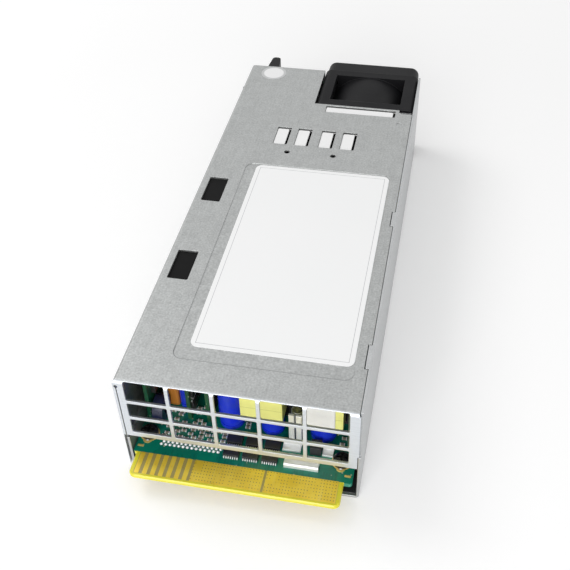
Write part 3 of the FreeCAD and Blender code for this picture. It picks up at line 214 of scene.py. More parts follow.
def paler(tone, gain, lift=0.0):
    """Tone times a gain, plus a lift, held at white."""
    return [min(1.0, part * gain + lift) for part in tone]


def zinc_steel(name, tone, flake, depth, edge_width):
    """Galvanised sheet with a painted highlight on its edges; flake is flakes to the metre, depth
    their contrast.
    """
    material, shader, place = new_material(name, 0.42, 0.9)
    inputs = {"Place": place, "Tone": tone, "Flake": flake, "Depth": depth}
    skin = node("Group", inputs, node_tree=zinc_skin).outputs
    edge = node("Group", {"Width": edge_width}, material.node_tree, node_tree=rounded_edge_highlight).outputs
    # Painted highlight: on the rounded edges the tone is 1.15 times paler.
    color = between(edge["Edge"], skin["Color"], paler(tone, 1.15))
    finish(shader, color, skin["Height"], 0.06, skin["Roughness"], edge["Normal"])
    return material


def dress(material, *names):
    """Gives CAD nodes their material."""
    for name in names:
        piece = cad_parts[name]
        if not piece.material_slots:
            piece.data.materials.append(material)
        for place in piece.material_slots:
            place.material = material


tray_steel = zinc_steel(
    "tray_zinc_steel", (0.48, 0.49, 0.495), flake=300.0, depth=0.16, edge_width=0.0003
)
dress(tray_steel, "base_tray", "fan_bulkhead")


# ---- Board supports and the insulating sheet under the board
# Nickel-plated hexagonal standoffs pressed into the floor, over a sheet of dark, slightly
# see-through insulating film that is punched round them.

def grain_group():
    """Moulded or drawn skin: tone times fine noise and soft patches, with a height."""
    group, given, result = new_group(
        "fine_grain", {"Place": "Vector", "Tone": "Color", "Scale": "Float", "Depth": "Float"},
        {"Color": "Color", "Rough": "Float", "Height": "Float"},
    )
    fine = noise(given["Place"], given["Scale"], 3.0)
    soft = noise(given["Place"], 110.0)
    both = number("SUBTRACT", number("ADD", fine, soft), 1.0)
    put(result["Color"], toned(given["Tone"], both, given["Depth"]))
    put(result["Rough"], number("MULTIPLY_ADD", soft, 0.16, -0.08))
    put(result["Height"], fine)
    return group


fine_grain = grain_group()


def grained(
    name, tone, roughness, scale=1500.0, depth=0.2, relief=0.15, metallic=0.0, edge=0.0,
    lift=0.035, **sockets
):
    """Fine grain and soft patches of gloss; within an edge's width a painted highlight makes it
    paler by the lift.
    """
    material, shader, place = new_material(name, roughness, metallic, **sockets)
    inputs = {"Place": place, "Tone": tone, "Scale": scale, "Depth": depth}
    skin = node("Group", inputs, node_tree=fine_grain).outputs
    color = skin["Color"]
    normal = None
    if edge:
        edge_highlight = node("Group", {"Width": edge}, material.node_tree, node_tree=rounded_edge_highlight).outputs
        # Painted highlight: on the rounded edges the tone is paler by the gain and the lift.
        color = between(edge_highlight["Edge"], color, paler(tone, 1.5, lift))
        normal = edge_highlight["Normal"]
    rough = number("ADD", skin["Rough"], roughness)
    finish(shader, color, skin["Height"], relief, rough, normal)
    return material


dress(grained("standoff_nickel", (0.62, 0.58, 0.50), 0.3, metallic=1.0, relief=0.05), "standoffs")
dress(grained(
    "insulating_film", (0.025, 0.027, 0.03), 0.28, scale=500.0, relief=0.05
), "base_insulator")


# ---- Main board
# Glass-fibre board with green solder mask over copper tracks. The card edge is bare: dull
# brown between the contacts and bright yellow along the bevel and beside the outer ones.

board_low, board_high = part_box("main_board")
board_top = board_high.z
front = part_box("base_tray")[0].y
finger_low, finger_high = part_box("signal_fingers")
pads_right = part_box("power_pads")[1].x
tongue_right = pads_right + 0.0016
mask_edge = 0.00004


def mask_group():
    """Solder mask over tracks: square patches of copper, narrow straight tracks and via dots."""
    group, given, result = new_group(
        "solder_mask", {"Place": "Vector", "Mask": "Color", "Copper": "Color"},
        {"Color": "Color", "Height": "Float"},
    )
    place = given["Place"]
    patches = cells(place, 170.0, 0.8, distance="CHEBYCHEV")["Color"]
    area = steps(channel(patches, "Green"), 0.52, 0.56)
    lanes = stretched(place, (1100.0, 160.0, 1100.0))
    tracks = cells(lanes, 1.0, 0.35, distance="CHEBYCHEV")["Distance"]
    track = number("MULTIPLY", steps(tracks, 0.30, 0.34), 0.55)
    via = steps(cells(place, 330.0, 0.55)["Distance"], 0.11, 0.08)
    raised = number("MAXIMUM", area, track)
    color = between(raised, given["Mask"], given["Copper"])
    put(result["Color"], between(via, color, (0.45, 0.5, 0.36)))
    put(result["Height"], number("SUBTRACT", raised, via))
    return group


solder_mask = mask_group()


def board_material(name, mask, copper, card_edge=False):
    """Masked board; with a card edge, bare laminate shows round the contacts."""
    material, shader, place = new_material(name, 0.32, Coat_Weight=0.3)
    inputs = {"Place": place, "Mask": mask, "Copper": copper}
    skin = node("Group", inputs, node_tree=solder_mask).outputs
    color = skin["Color"]
    height = skin["Height"]
    if card_edge:
        spot = node("SeparateXYZ", {"Vector": place}).outputs
        ahead = steps(spot["Y"], finger_high.y + mask_edge, finger_high.y - mask_edge)
        inward = steps(spot["X"], tongue_right, tongue_right - mask_edge)
        bare = number("MULTIPLY", ahead, inward)
        outer = steps(spot["Y"], finger_low.y + 0.0002, finger_low.y - 0.0003)
        for low, high in (
            (pads_right - 0.0001, pads_right + 0.0002),
            (finger_low.x + 0.0001, finger_low.x - 0.0002),
        ):
            outer = number("MAXIMUM", outer, steps(spot["X"], low, high))
        weave = streaks(place, (1600.0, 1600.0, 5000.0))
        dull = between(weave, (0.30, 0.24, 0.07), (0.42, 0.35, 0.12))
        bright = between(weave, (0.68, 0.62, 0.015), (0.80, 0.73, 0.03))
        color = between(bare, color, between(outer, dull, bright))
        height = number("MULTIPLY", height, number("SUBTRACT", 1.0, bare))
    finish(shader, color, height, 0.25)
    return material


dress(board_material("main_board_mask", (0.0, 0.15, 0.10), (0.0, 0.22, 0.14), True), "main_board")


# ---- Card-edge contacts
# Hard gold over nickel on copper: seven signal fingers and two wide pads stitched through
# with rows of small vias. Mating springs have left faint wipe marks along them.

def contact_gold(name, stitched=False):
    """Gold plate with wipe marks; stitched dots it with vias that mirror at half their pitch."""
    material, shader, place = new_material(name, 0.3, 0.3)
    cloud = noise(place, 220.0, 3.0)
    wipes = streaks(place, (2600.0, 45.0, 1.0))
    tone = between(steps(cloud, 0.35, 0.7), (0.86, 0.61, 0.05), (0.98, 0.74, 0.08))
    tone = between(steps(wipes, 0.62, 0.78), tone, (0.95, 0.80, 0.26))
    height = number("MULTIPLY", wipes, 0.2)
    if stitched:
        spot = node("SeparateXYZ", {"Vector": place}).outputs
        squares = []
        for axis, half_pitch in (("Y", 0.00055), ("X", 0.00046)):
            off = number("PINGPONG", number("ADD", spot[axis], 0.5), half_pitch)
            squares.append(number("POWER", off, 2.0))
        reach = number("SQRT", number("ADD", *squares))
        left_out = steps(noise(place, 420.0, 1.0), 0.40, 0.47)
        hole = number("MULTIPLY", steps(reach, 0.00021, 0.00014), left_out)
        tone = between(hole, tone, (0.36, 0.24, 0.05))
        height = number("SUBTRACT", height, hole)
    rough = number("MULTIPLY_ADD", cloud, 0.25, 0.2)
    finish(shader, tone, height, 0.3, rough)
    return material


def grid_patch(points, wrap=False):
    """Grid of points as one list, with the quads that join each to the next both ways."""
    rows, columns = points.shape[:2]
    along = np.arange(columns if wrap else columns - 1)
    a, b = [side.ravel() for side in np.meshgrid(np.arange(rows - 1), along, indexing="ij")]
    here = a * columns
    below = here + columns
    after = (b + 1) % columns
    quads = np.stack([here + b, below + b, below + after, here + after], axis=1)
    return points.reshape(-1, 3), quads


def laid(across, up, height, axis="Z", place=(0, 0, 0)):
    """Rings of points at a place, with their height along one axis and the rest on the others."""
    order = {"X": (height, across, up), "Y": (across, height, up), "Z": (across, up, height)}
    points = np.stack(np.broadcast_arrays(*order[axis]), axis=-1)
    return grid_patch(points + np.asarray(place), wrap=True)


def squarish(wave, power):
    """Sign of a sine or cosine times a small power of its size, which squares a circle off."""
    return np.sign(wave) * np.abs(wave) ** power


def soft_block(size, place, hardness=0.22, rings=8, around=16):
    """Superellipsoid: each half size times the squared-off sines and cosines of a sphere."""
    rise = np.linspace(-math.pi / 2, math.pi / 2, rings)[:, None]
    turn = np.linspace(-math.pi, math.pi, around, endpoint=False)
    level = squarish(np.cos(rise), hardness)
    x = level * squarish(np.cos(turn), hardness) * size[0] / 2
    y = level * squarish(np.sin(turn), hardness) * size[1] / 2
    return laid(x, y, squarish(np.sin(rise), hardness) * size[2] / 2, "Z", place)


def solid_boxes(name):
    """Lowest and highest corner of each separate solid of a CAD node, from left to right."""
    shape = bmesh.new()
    shape.from_mesh(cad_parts[name].data)
    bmesh.ops.remove_doubles(shape, verts=shape.verts, dist=1e-6)
    left = set(shape.verts)
    boxes = []
    while left:
        solid = [left.pop()]
        for vert in solid:
            fresh = {edge.other_vert(vert) for edge in vert.link_edges} & left
            left -= fresh
            solid.extend(fresh)
        corners = np.array([vert.co for vert in solid])
        boxes.append((corners.min(axis=0), corners.max(axis=0)))
    shape.free()
    return sorted(boxes, key=lambda box: tuple(np.round(box[0], 4)))


def make_piece(name, patches, material, sharp=35.0, body="supply"):
    """One piece from patches of points and quads: doubles merged, normals outward, on its body."""
    mesh = bpy.data.meshes.new(name)
    starts = np.cumsum([0] + [len(points) for points, _ in patches])
    points = np.concatenate([points for points, _ in patches])
    quads = np.concatenate([quads + start for (_, quads), start in zip(patches, starts)])
    mesh.from_pydata(points.tolist(), [], quads.tolist())
    shape = bmesh.new()
    shape.from_mesh(mesh)
    bmesh.ops.remove_doubles(shape, verts=shape.verts, dist=1e-7)
    bmesh.ops.dissolve_degenerate(shape, edges=shape.edges, dist=1e-8)
    bmesh.ops.recalc_face_normals(shape, faces=shape.faces)
    shape.to_mesh(mesh)
    shape.free()
    mesh.shade_smooth()
    mesh.set_sharp_from_angle(angle=math.radians(sharp))
    mesh.materials.append(material)
    piece = bpy.data.objects.new(name, mesh)
    scene.collection.objects.link(piece)
    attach(piece, body)
    return piece


finger_wide = 0.00145
finger_gold = contact_gold("finger_gold")
fingers = []
for low, high in solid_boxes("signal_fingers"):
    size = (finger_wide, high[1] - low[1], high[2] - low[2])
    fingers.append(soft_block(size, (low + high) / 2, hardness=0.08))
finger_strips = make_piece("finger_strips", fingers, finger_gold)
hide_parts("signal_fingers")
dress(contact_gold("pad_gold", stitched=True), "ground_pads", "power_pads")


# ---- Gold rings round the board screws
# Each screw clamps a bare gold-plated ring on the board, which is the earth connection. It
# is plated with the contacts, and stands a little above the mask.

def round_turn(count):
    """Angles of the points of a ring, over one full turn."""
    return np.linspace(0, 2 * math.pi, count, endpoint=False)


def turned(radii, heights, centre, around=32):
    """Profile turned about Z: at angle t a point is radius x (cos t, sin t), at its height."""
    angle = round_turn(around)
    ring = np.asarray(radii)[:, None]
    height = np.asarray(heights)[:, None]
    return laid(ring * np.cos(angle), ring * np.sin(angle), height, "Z", centre)


screw_boxes = solid_boxes("board_screws")
screw_radius = (screw_boxes[0][1][0] - screw_boxes[0][0][0]) / 2
screw_places = [(*((low + high) / 2)[:2], board_top) for low, high in screw_boxes]
ring_radius = screw_radius + 0.0004
ring_rise = 0.00006
ring_profile = (screw_radius * 0.6, ring_radius - ring_rise, ring_radius, ring_radius)
ring_heights = (ring_rise, ring_rise, ring_rise / 2, -ring_rise)
rings = [turned(ring_profile, ring_heights, place) for place in screw_places]
gold_ring = grained("ring_gold", (0.95, 0.70, 0.22), 0.3, metallic=0.4, relief=0.05)
make_piece("screw_pads", rings, gold_ring)


# ---- Board screws
# Blackened steel pan heads with a cross recess and a rolled thread, driven through the
# board into the standoffs.

def disc(radius, rings, around):
    """Share of the radius, and the two coordinates, of each point of a disc of rings."""
    share = np.linspace(0, 1, rings)[:, None]
    angle = round_turn(around)
    return share, share * radius * np.cos(angle), share * radius * np.sin(angle)


def in_cross(x, y, reach):
    """Where a cross recess lies: within its reach, and within a fifth of it from an arm's line."""
    near, far = np.sort(np.abs([x, y]), axis=0)
    return (near < reach * 0.2) & (far < reach)


def cross_head(radius, height, recess, centre, axis, rings=22, around=64):
    """Pan head: height less a fourth power of the radius, and a cross deepest in the middle."""
    share, x, y = disc(radius, rings, around)
    sunk = np.where(in_cross(x, y, recess), height * 0.62 * (1 - 0.5 * share), 0.0)
    rise = np.concatenate([height * (1 - 0.45 * share ** 4) - sunk, np.zeros((1, around))])
    rim = [np.concatenate([side, side[-1:]]) for side in (x, y)]
    return laid(*rim, rise, axis, centre)


def threaded_shank(radius, start, length, pitch, axis, around=20, depth=0.00015):
    """Thread: the radius dips by a triangle wave of height over pitch less turn, so it climbs."""
    height = np.linspace(0, length, int(round(length / pitch)) * 6 + 1)[:, None]
    angle = round_turn(around)
    phase = (height / pitch - angle / (2 * math.pi)) % 1.0
    ring = radius - depth * np.abs(2 * phase - 1)
    ring[[0, -1]] = 0.0
    return laid(ring * np.cos(angle), ring * np.sin(angle), height, axis, start)


black_steel = grained("black_steel", (0.028, 0.028, 0.03), 0.34, metallic=0.6, relief=0.1)
thread_lap = 0.0002
board_screws = []
for (low, high), (x, y, seat) in zip(screw_boxes, screw_places):
    length = seat - low[2] + thread_lap
    board_screws.append(cross_head(
        screw_radius, high[2] - seat, recess=0.0017, centre=(x, y, seat), axis="Z"
    ))
    board_screws.append(threaded_shank(0.0012, (x, y, low[2]), length, pitch=0.0005, axis="Z"))
board_screw_piece = make_piece("board_screw_set", board_screws, black_steel, sharp=25.0)
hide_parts("board_screws")


# ---- Output transistors
# Flat black epoxy packages in two rows behind the card edge, soldered down by tinned
# gull-wing legs on their front and rear sides.

def unit(runs):
    """Directions of length one."""
    return runs / np.linalg.norm(runs, axis=1, keepdims=True)


def closed_tube(rings, start, end):
    """Tube through rings of points, drawn in to one point at each end."""
    first, last = (np.broadcast_to(point, rings[:1].shape) for point in (start, end))
    return grid_patch(np.concatenate([first, rings, last]), wrap=True)


def ribbon(path, width, thick):
    """Flat strip along a path in the YZ plane: four corners at each point, closed at both ends."""
    path = np.asarray(path, float)
    run = unit(np.gradient(path, axis=0))
    side = np.stack([-run[:, 1], run[:, 0]], axis=1) * thick / 2
    rings = np.stack([
        np.column_stack([np.full(len(path), across * width / 2), path + up * side])
        for across, up in ((-1, -1), (1, -1), (1, 1), (-1, 1))
    ], axis=1)
    return closed_tube(rings, rings[0].mean(axis=0), rings[-1].mean(axis=0))


def moved(patch, place):
    """Copy of a patch moved to a place."""
    points, faces = patch
    return points + np.asarray(place), faces


leg_count = 7
leg_width = 0.00032
leg_thick = 0.00018
leg_run = 0.00055
leg_rise = 0.00065
legs = []
for low, high in solid_boxes("output_transistors"):
    pitch = (high[0] - low[0]) / leg_count
    for side, wall in ((-1, low[1]), (1, high[1])):
        leg = ribbon([
            (0.0, leg_rise), (side * leg_run * 0.3, leg_rise), (side * leg_run * 0.55, leg_thick),
            (side * leg_run, leg_thick),
        ], leg_width, leg_thick)
        for index in range(leg_count):
            legs.append(moved(leg, (low[0] + (index + 0.5) * pitch, wall, board_top)))
tinned = grained("bright_tin", (0.84, 0.85, 0.85), 0.28, scale=2500.0, metallic=0.5, relief=0.1)
make_piece("transistor_legs", legs, tinned)
dress(grained(
    "black_epoxy", (0.022, 0.022, 0.024), 0.42, scale=3500.0, edge=0.0001
), "output_transistors")


# ---- Small parts and solder joints on the board
# Ceramic capacitors and resistors between tinned ends, the solder cones of the pins behind
# the signal fingers, and two bare pads and soldered eyelets at the shoulders.

def solder_cone(radius, height):
    """Solder fillet: height falls off with the square of one less the share of the radius."""
    share = np.linspace(0, 1, 6)
    return turned(share * radius, height * (1 - share) ** 2, (0, 0, 0), around=12)


def spread(spots, apart=(0.0019, 0.0011)):
    """Spots in order, without those that come nearer than a chip's room to one already kept."""
    kept = []
    for spot in spots:
        if all((np.abs(spot - other) >= apart).any() for other in kept):
            kept.append(spot)
    return np.array(kept)


chip_size = np.array((0.0016, 0.0009, 0.0007))
chip_body = chip_size * (0.62, 0.94, 0.96)
chip_end = chip_size * (0.24, 1.0, 1.0)
chip_middle = board_top + chip_size[2] / 2
chip_margin = (0.0012, 0.0009)
taken = np.array([box for name in (
    "board_screws", "output_transistors", "output_bus_bars", "ferrite_bead", "output_capacitors",
    "filter_capacitor", "control_board", "rectifier_boards", "sense_board", "standby_transformer",
    "standby_inductor",
) for box in solid_boxes(name)])
taken_low = taken[None, :, 0, :2] - chip_margin
taken_high = taken[None, :, 1, :2] + chip_margin
shuffle = np.random.default_rng(7)
chip_bodies = []
chip_ends = []
for x0, x1, y0, y1, count in (
    (-0.0275, -0.0075, front + 0.0070, front + 0.0118, 400),
    (-0.0270, 0.0300, front + 0.0125, front + 0.0205, 160),
):
    spots = spread(np.column_stack([
        shuffle.uniform(x0, x1, count), shuffle.uniform(y0, y1, count)
    ]))
    under = (spots[:, None] > taken_low) & (spots[:, None] < taken_high)
    for x, y in spots[~under.all(axis=2).any(axis=1)]:
        chip_bodies.append(soft_block(chip_body, (x, y, chip_middle)))
        for side in (-1, 1):
            chip_ends.append(soft_block(chip_end, (x + side * chip_size[0] * 0.4, y, chip_middle)))
ceramic = grained("chip_ceramic", (0.30, 0.27, 0.20), 0.5, depth=0.8)
solder = grained("bright_solder", (0.93, 0.94, 0.94), 0.3, scale=2500.0, metallic=0.3, relief=0.1)
make_piece("small_chips", chip_bodies, ceramic)
make_piece("small_chip_ends", chip_ends, solder)

pad_size = (0.0020, 0.0008, 0.00014)
pad_inset = 0.0017
pad_place = front + 0.0023
eyelet_place = front + 0.0049
eyelet_profile = (0.0007, 0.0008, 0.0013, 0.0015, 0.0015)
eyelet_heights = (0.00006, 0.00014, 0.00014, 0.0001, 0)
shoulder_pads = [
    soft_block(pad_size, (x, pad_place, board_top))
    for x in (board_low.x + pad_inset, board_high.x - pad_inset)
]
cones = []
for x, y, z in screw_places:
    if y < 0:
        shoulder_pads.append(turned(eyelet_profile, eyelet_heights, (x, eyelet_place, z)))
        cones.append(moved(solder_cone(radius=0.0009, height=0.0007), (x, eyelet_place, z)))
make_piece("shoulder_pads", shoulder_pads, gold_ring)

pin_columns = 14
pin_pitch = 0.00142
pin_start = (-0.0268, front + 0.0040)
row_step = (0.0006, 0.0011)
cone = solder_cone(radius=0.00056, height=0.0007)
for row in range(2):
    for column in range(pin_columns):
        x = pin_start[0] + column * pin_pitch + row * row_step[0]
        cones.append(moved(cone, (x, pin_start[1] + row * row_step[1], board_top)))
make_piece("pin_solder", cones, solder)


# ---- Bus bars and the ferrite bead
# Tin-plated copper: a bridge by the card edge, a tall forked bracket and a low one. A flat
# ferrite block sits between the brackets.

dress(grained(
    "tin_plated_bar", (0.88, 0.89, 0.89), 0.32, scale=700.0, depth=0.15, metallic=0.4, relief=0.2,
    edge=0.0002,
), "output_bus_bars")
dress(grained(
    "ferrite_grey", (0.035, 0.035, 0.038), 0.6, scale=1800.0, depth=0.5, relief=0.5, edge=0.0002,
), "ferrite_bead", "transformer_core", "output_choke_core")


# ---- Upright boards
# A control board with its controller chips, two boards of synchronous rectifiers and a
# sense board, all soldered upright into the main board.

dress(board_material(
    "control_board_mask", (0.0, 0.055, 0.025), (0.01, 0.11, 0.05)
), "control_board")
dress(board_material(
    "rectifier_board_mask", (0.004, 0.045, 0.020), (0.02, 0.10, 0.04)
), "rectifier_boards")
dress(board_material("sense_board_mask", (0.10, 0.14, 0.10), (0.17, 0.21, 0.15)), "sense_board")
package_size = (0.0010, 0.0046, 0.0038)
package_columns = np.array((0.0034, 0.0096, 0.0158, 0.0220))
package_rows = 4
lowest_row = 0.0050
highest_row = 0.0036
leg_size = (0.0004, 0.0005, 0.0009)
leg_places = (-0.0016, -0.0005, 0.0005, 0.0016)
leg_reach = package_size[2] / 2 + 0.0003
packages = []
package_legs = []
for low, high in solid_boxes("rectifier_boards"):
    for y in low[1] + package_columns:
        for z in np.linspace(low[2] + lowest_row, high[2] - highest_row, package_rows):
            packages.append(soft_block(package_size, (high[0] + package_size[0] / 2, y, z), 0.15))
            for side in (-1, 1):
                for leg in leg_places:
                    spot = (high[0] + leg_size[0] / 2, y + leg, z + side * leg_reach)
                    package_legs.append(soft_block(leg_size, spot, rings=4, around=8))
rectifier_epoxy = grained("rectifier_epoxy", (0.018, 0.018, 0.020), 0.42, scale=3500.0)
make_piece("rectifier_packages", packages, rectifier_epoxy)
make_piece("rectifier_legs", package_legs, tinned)
dress(grained(
    "controller_epoxy", (0.022, 0.022, 0.024), 0.42, scale=3500.0, edge=0.0001
), "control_chips")


# ---- Output capacitors
# Aluminium cans in shrunk blue or grey sleeves, soldered upright to the board. Their bare
# ends are scored, so that they can open as a vent.

def sleeve_material(name, tone, cloudy):
    """Shrunk plastic sleeve with a soft gloss, clouded with a second tone."""
    material, shader, place = new_material(name, 0.26, Coat_Weight=0.4)
    cloud = steps(noise(place, 240.0), 0.3, 0.7)
    finish(shader, between(cloud, tone, cloudy), noise(place, 900.0), 0.12)
    return material


def vented_end(radius, score, depth, rings=12, around=48):
    """Can end: a flat disc, sunk in a cross of narrow scores that fade before the rim."""
    share, x, y = disc(radius, rings, around)
    line = np.minimum(np.abs(x), np.abs(y))
    sunk = depth * np.clip(1 - line / score, 0, 1) * np.clip((0.85 - share) * 8, 0, 1)
    return laid(x, y, 0.00012 * np.clip((1 - share) * 12, 0, 1) - sunk)


can_ends = []
for low, high in solid_boxes("output_capacitors") + solid_boxes("filter_capacitor"):
    radius = (high[0] - low[0]) / 2
    middle = ((low[0] + high[0]) / 2, (low[1] + high[1]) / 2, high[2] + 0.00002)
    can_ends.append(moved(vented_end(radius * 0.84, score=0.0003, depth=0.0001), middle))
can_metal = grained("can_aluminium", (0.70, 0.71, 0.73), 0.35, scale=900.0, metallic=1.0)
make_piece("capacitor_ends", can_ends, can_metal)
dress(sleeve_material("blue_sleeve", (0.012, 0.035, 0.85), (0.02, 0.05, 0.68)), "output_capacitors")
dress(sleeve_material("grey_sleeve", (0.26, 0.29, 0.33), (0.33, 0.36, 0.40)), "filter_capacitor")


# ---- Taped transformers and chokes
# Ferrite cores round windings wrapped in bright yellow polyester tape, whose laps show as
# fine lines. The standby transformer has amber tape.

def tape_material(name, tone, lap, pitch):
    """Polyester tape: one tone with a thin darker lap line at each pitch of height."""
    material, shader, place = new_material(name, 0.3, Coat_Weight=0.5)
    height = node("SeparateXYZ", {"Vector": place}).outputs["Z"]
    wavy = number("MULTIPLY_ADD", noise(place, 90.0), 0.0008, height)
    edge = steps(number("PINGPONG", wavy, pitch), 0.00012, 0.00002)
    cloud = noise(place, 160.0)
    color = between(steps(cloud, 0.2, 0.9), tone, paler(tone, 0.86))
    color = between(number("MULTIPLY", edge, 0.75), color, lap)
    raised = number("MULTIPLY_ADD", cloud, 0.5, edge)
    finish(shader, color, raised, 0.3, rise=0.0002)
    return material


yellow_tape = tape_material("yellow_tape", (1.0, 1.0, 0.34), (0.50, 0.50, 0.08), pitch=0.0036)
amber_tape = tape_material("amber_tape", (0.80, 0.30, 0.05), (0.28, 0.09, 0.02), pitch=0.0041)
dress(yellow_tape, "transformer_winding", "output_choke_winding", "resonant_choke")
dress(amber_tape, "standby_transformer")


# ---- Bare paper label on the output choke
# A small blank white paper label stuck on the front of the taped winding, its two ends
# lifted a little off the tape.

choke_low, choke_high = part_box("output_choke_winding")
label_lift = 0.00008
across = np.linspace(choke_low.x + 0.0004, choke_high.x - 0.0024, 14)
upward = np.linspace(choke_low.z + 0.0012, choke_high.z - 0.0060, 10)[:, None]
off_middle = (across - across.mean()) / (across[-1] - across[0]) * 2
curl = label_lift * (1 + 1.2 * off_middle ** 4)
face = np.stack(np.broadcast_arrays(across, choke_low.y - curl, upward), axis=-1)
white_paper = grained("choke_label_paper", (0.93, 0.93, 0.92), 0.55, scale=2200.0, depth=0.06)
choke_label = make_piece("choke_label", [grid_patch(face)], white_paper)
choke_label.modifiers.new("thickness", "SOLIDIFY").thickness = 0.00005


# ---- Ring inductors
# Iron-powder and ferrite rings wound with enamelled copper wire. The wire is one long
# helix bent round the ring, and a gap in the winding keeps its two ends apart.

def round_tube(path, radius, around=8):
    """Wire: a circle set square to the path at each point, its ends drawn in to a point."""
    run = unit(np.gradient(path, axis=0))
    side = np.cross(run, np.roll(run, 1, axis=1) + (0.1, 0.2, 0.3))
    for _ in range(40):
        side = side + np.roll(side, 1, axis=0) + np.roll(side, -1, axis=0)
        side = unit(side - run * (side * run).sum(axis=1, keepdims=True))
    up = np.cross(run, side)
    angle = round_turn(around)[None, :, None]
    circle = np.cos(angle) * side[:, None] + np.sin(angle) * up[:, None]
    return closed_tube(path[:, None] + radius * circle, path[0], path[-1])


def ring_winding(middle, ring_radius, half_thick, half_wide, wire, turns, gap, upright):
    """Helix on a ring: its angle climbs while the wire goes round a squared-off section."""
    count = turns * 22
    corner = 0.45
    phase = np.linspace(0, 2 * math.pi * turns, count)
    ring_angle = gap / 2 + (2 * math.pi - gap) * np.linspace(0, 1, count) + math.pi / 2
    reach = ring_radius + squarish(np.cos(phase), corner) * (half_thick + wire)
    along = squarish(np.sin(phase), corner) * (half_wide + wire)
    first = reach * np.cos(ring_angle)
    second = reach * np.sin(ring_angle)
    order = (first, along, second) if upright else (first, second, along)
    return round_tube(np.stack(order, axis=1) + np.asarray(middle), wire)


def enamel(name, tone, dark):
    """Enamelled copper: warm metal tone under a thin clear coat, a little darker in patches."""
    material, shader, place = new_material(name, 0.25, 0.9, Coat_Weight=0.6)
    cloud = noise(place, 380.0, 3.0)
    finish(shader, between(cloud, tone, dark), cloud, 0.15)
    return material


copper_enamel = enamel("copper_enamel", (0.75, 0.30, 0.11), (0.42, 0.13, 0.04))
winding_gap = math.radians(36)
for stem, wire, turns, hole, upright in (
    ("pfc_choke", 0.00058, 30, 0.0066, True), ("emi_choke", 0.0005, 26, 0.0046, False),
):
    core_low, core_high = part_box(stem + "_core")
    outer = (core_high.x - core_low.x) / 2
    half_wide = (core_high.y - core_low.y if upright else core_high.z - core_low.z) / 2
    winding = make_piece(stem + "_wire", [ring_winding(
        (core_low + core_high) / 2, (outer + hole) / 2, (outer - hole) / 2, half_wide, wire, turns,
        winding_gap, upright,
    )], copper_enamel)
    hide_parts(stem + "_winding")
dress(grained(
    "iron_powder_ring", (0.50, 0.42, 0.10), 0.5, scale=1600.0, edge=0.0003
), "pfc_choke_core")
dress(grained(
    "green_ferrite_ring", (0.02, 0.16, 0.07), 0.4, scale=1600.0, edge=0.0003
), "emi_choke_core")
dress(grained(
    "dark_blue_ring", (0.02, 0.025, 0.07), 0.3, scale=900.0, depth=0.6, relief=0.5
), "standby_inductor")


# ---- Heatsink, its power devices and the mains parts
# Extruded aluminium fins carry black epoxy packages. Behind them stand the film capacitor,
# relay, ceramic fuse and the small nylon socket for the fan's lead.

def drawn_aluminium(name, tone):
    """Extruded aluminium with fine die lines along Y."""
    material, shader, place = new_material(name, 0.38, 1.0)
    lines = streaks(place, (2600.0, 25.0, 2600.0))
    rough = number("MULTIPLY_ADD", lines, 0.25, 0.28)
    finish(shader, between(lines, tone, paler(tone, 0.72)), lines, 0.2, rough)
    return material


dress(drawn_aluminium("heatsink_aluminium", (0.70, 0.71, 0.73)), "primary_heatsink")
dress(grained(
    "package_epoxy", (0.024, 0.024, 0.026), 0.45, scale=3000.0, edge=0.0001
), "power_transistors", "bridge_rectifier")
dress(sleeve_material(
    "black_sleeve", (0.012, 0.014, 0.03), (0.02, 0.022, 0.045)
), "bulk_capacitors")
dress(grained(
    "film_capacitor_yellow", (0.78, 0.50, 0.04), 0.38, depth=0.1, edge=0.0003
), "x_capacitor")
dress(grained("relay_blue", (0.02, 0.09, 0.28), 0.35, depth=0.1, edge=0.0003), "relay")
dress(grained("fuse_ceramic", (0.72, 0.70, 0.64), 0.35, scale=900.0, depth=0.15), "fuse")
dress(grained("nylon_natural", (0.80, 0.79, 0.72), 0.45, depth=0.06, edge=0.0002), "fan_header")


# ---- Fan
# A 40 mm counter of black glass-filled PBT: a framed barrel with corner posts, a hub with
# seven twisted blades on a steel shaft in two ball bearings, and a wound stator inside.

dress(grained(
    "fan_black", (0.006, 0.006, 0.007), 0.55, scale=2600.0, depth=0.35, relief=0.25, edge=0.0003,
    Specular_IOR_Level=0.14,
), "fan_frame")
dress(grained(
    "rotor_black", (0.026, 0.027, 0.03), 0.42, scale=2600.0, depth=0.3, edge=0.0002
), "fan_rotor")
dress(grained(
    "ground_shaft_steel", (0.66, 0.66, 0.68), 0.18, scale=4000.0, metallic=1.0
), "fan_shaft")
dress(grained(
    "bearing_steel", (0.60, 0.60, 0.62), 0.22, scale=3000.0, metallic=1.0
), "fan_bearings")
dress(enamel("stator_copper", (0.66, 0.28, 0.10), (0.30, 0.10, 0.03)), "fan_stator")


# ---- Fan screws
# Four long black steel screws, their heads sunk in the bezel, that run through it and the
# fan and are threaded into the bulkhead.

bezel_floor = 0.0018
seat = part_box("fan_frame")[1].y + bezel_floor
fan_screws = []
for low, high in solid_boxes("fan_screws"):
    x = (low[0] + high[0]) / 2
    z = (low[2] + high[2]) / 2
    length = seat - low[1] + thread_lap
    fan_screws.append(cross_head(
        (high[0] - low[0]) / 2, high[1] - seat, recess=0.0015, centre=(x, seat, z), axis="Y"
    ))
    fan_screws.append(threaded_shank(0.0014, (x, low[1], z), length, pitch=0.0007, axis="Y"))
fan_screw_set = make_piece("fan_screw_set", fan_screws, black_steel, sharp=25.0)
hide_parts("fan_screws")


# ---- Grip bezel
# Black moulded bezel screwed over the rear of the fan, with a ring guard at its root. Its
# rounded edges carry a strong painted highlight.

# Its large lift paints a strong highlight on the rounded edges.
dress(grained(
    "bezel_black", (0.006, 0.006, 0.007), 0.45, scale=2200.0, depth=0.3, relief=0.2, edge=0.0006,
    lift=0.13, Specular_IOR_Level=0.14,
), "fan_bezel")


# ---- Mains inlet and status light
# A black moulded inlet with three nickel-plated blades, set in the rear wall, and a light
# pipe of clear green acrylic above it.

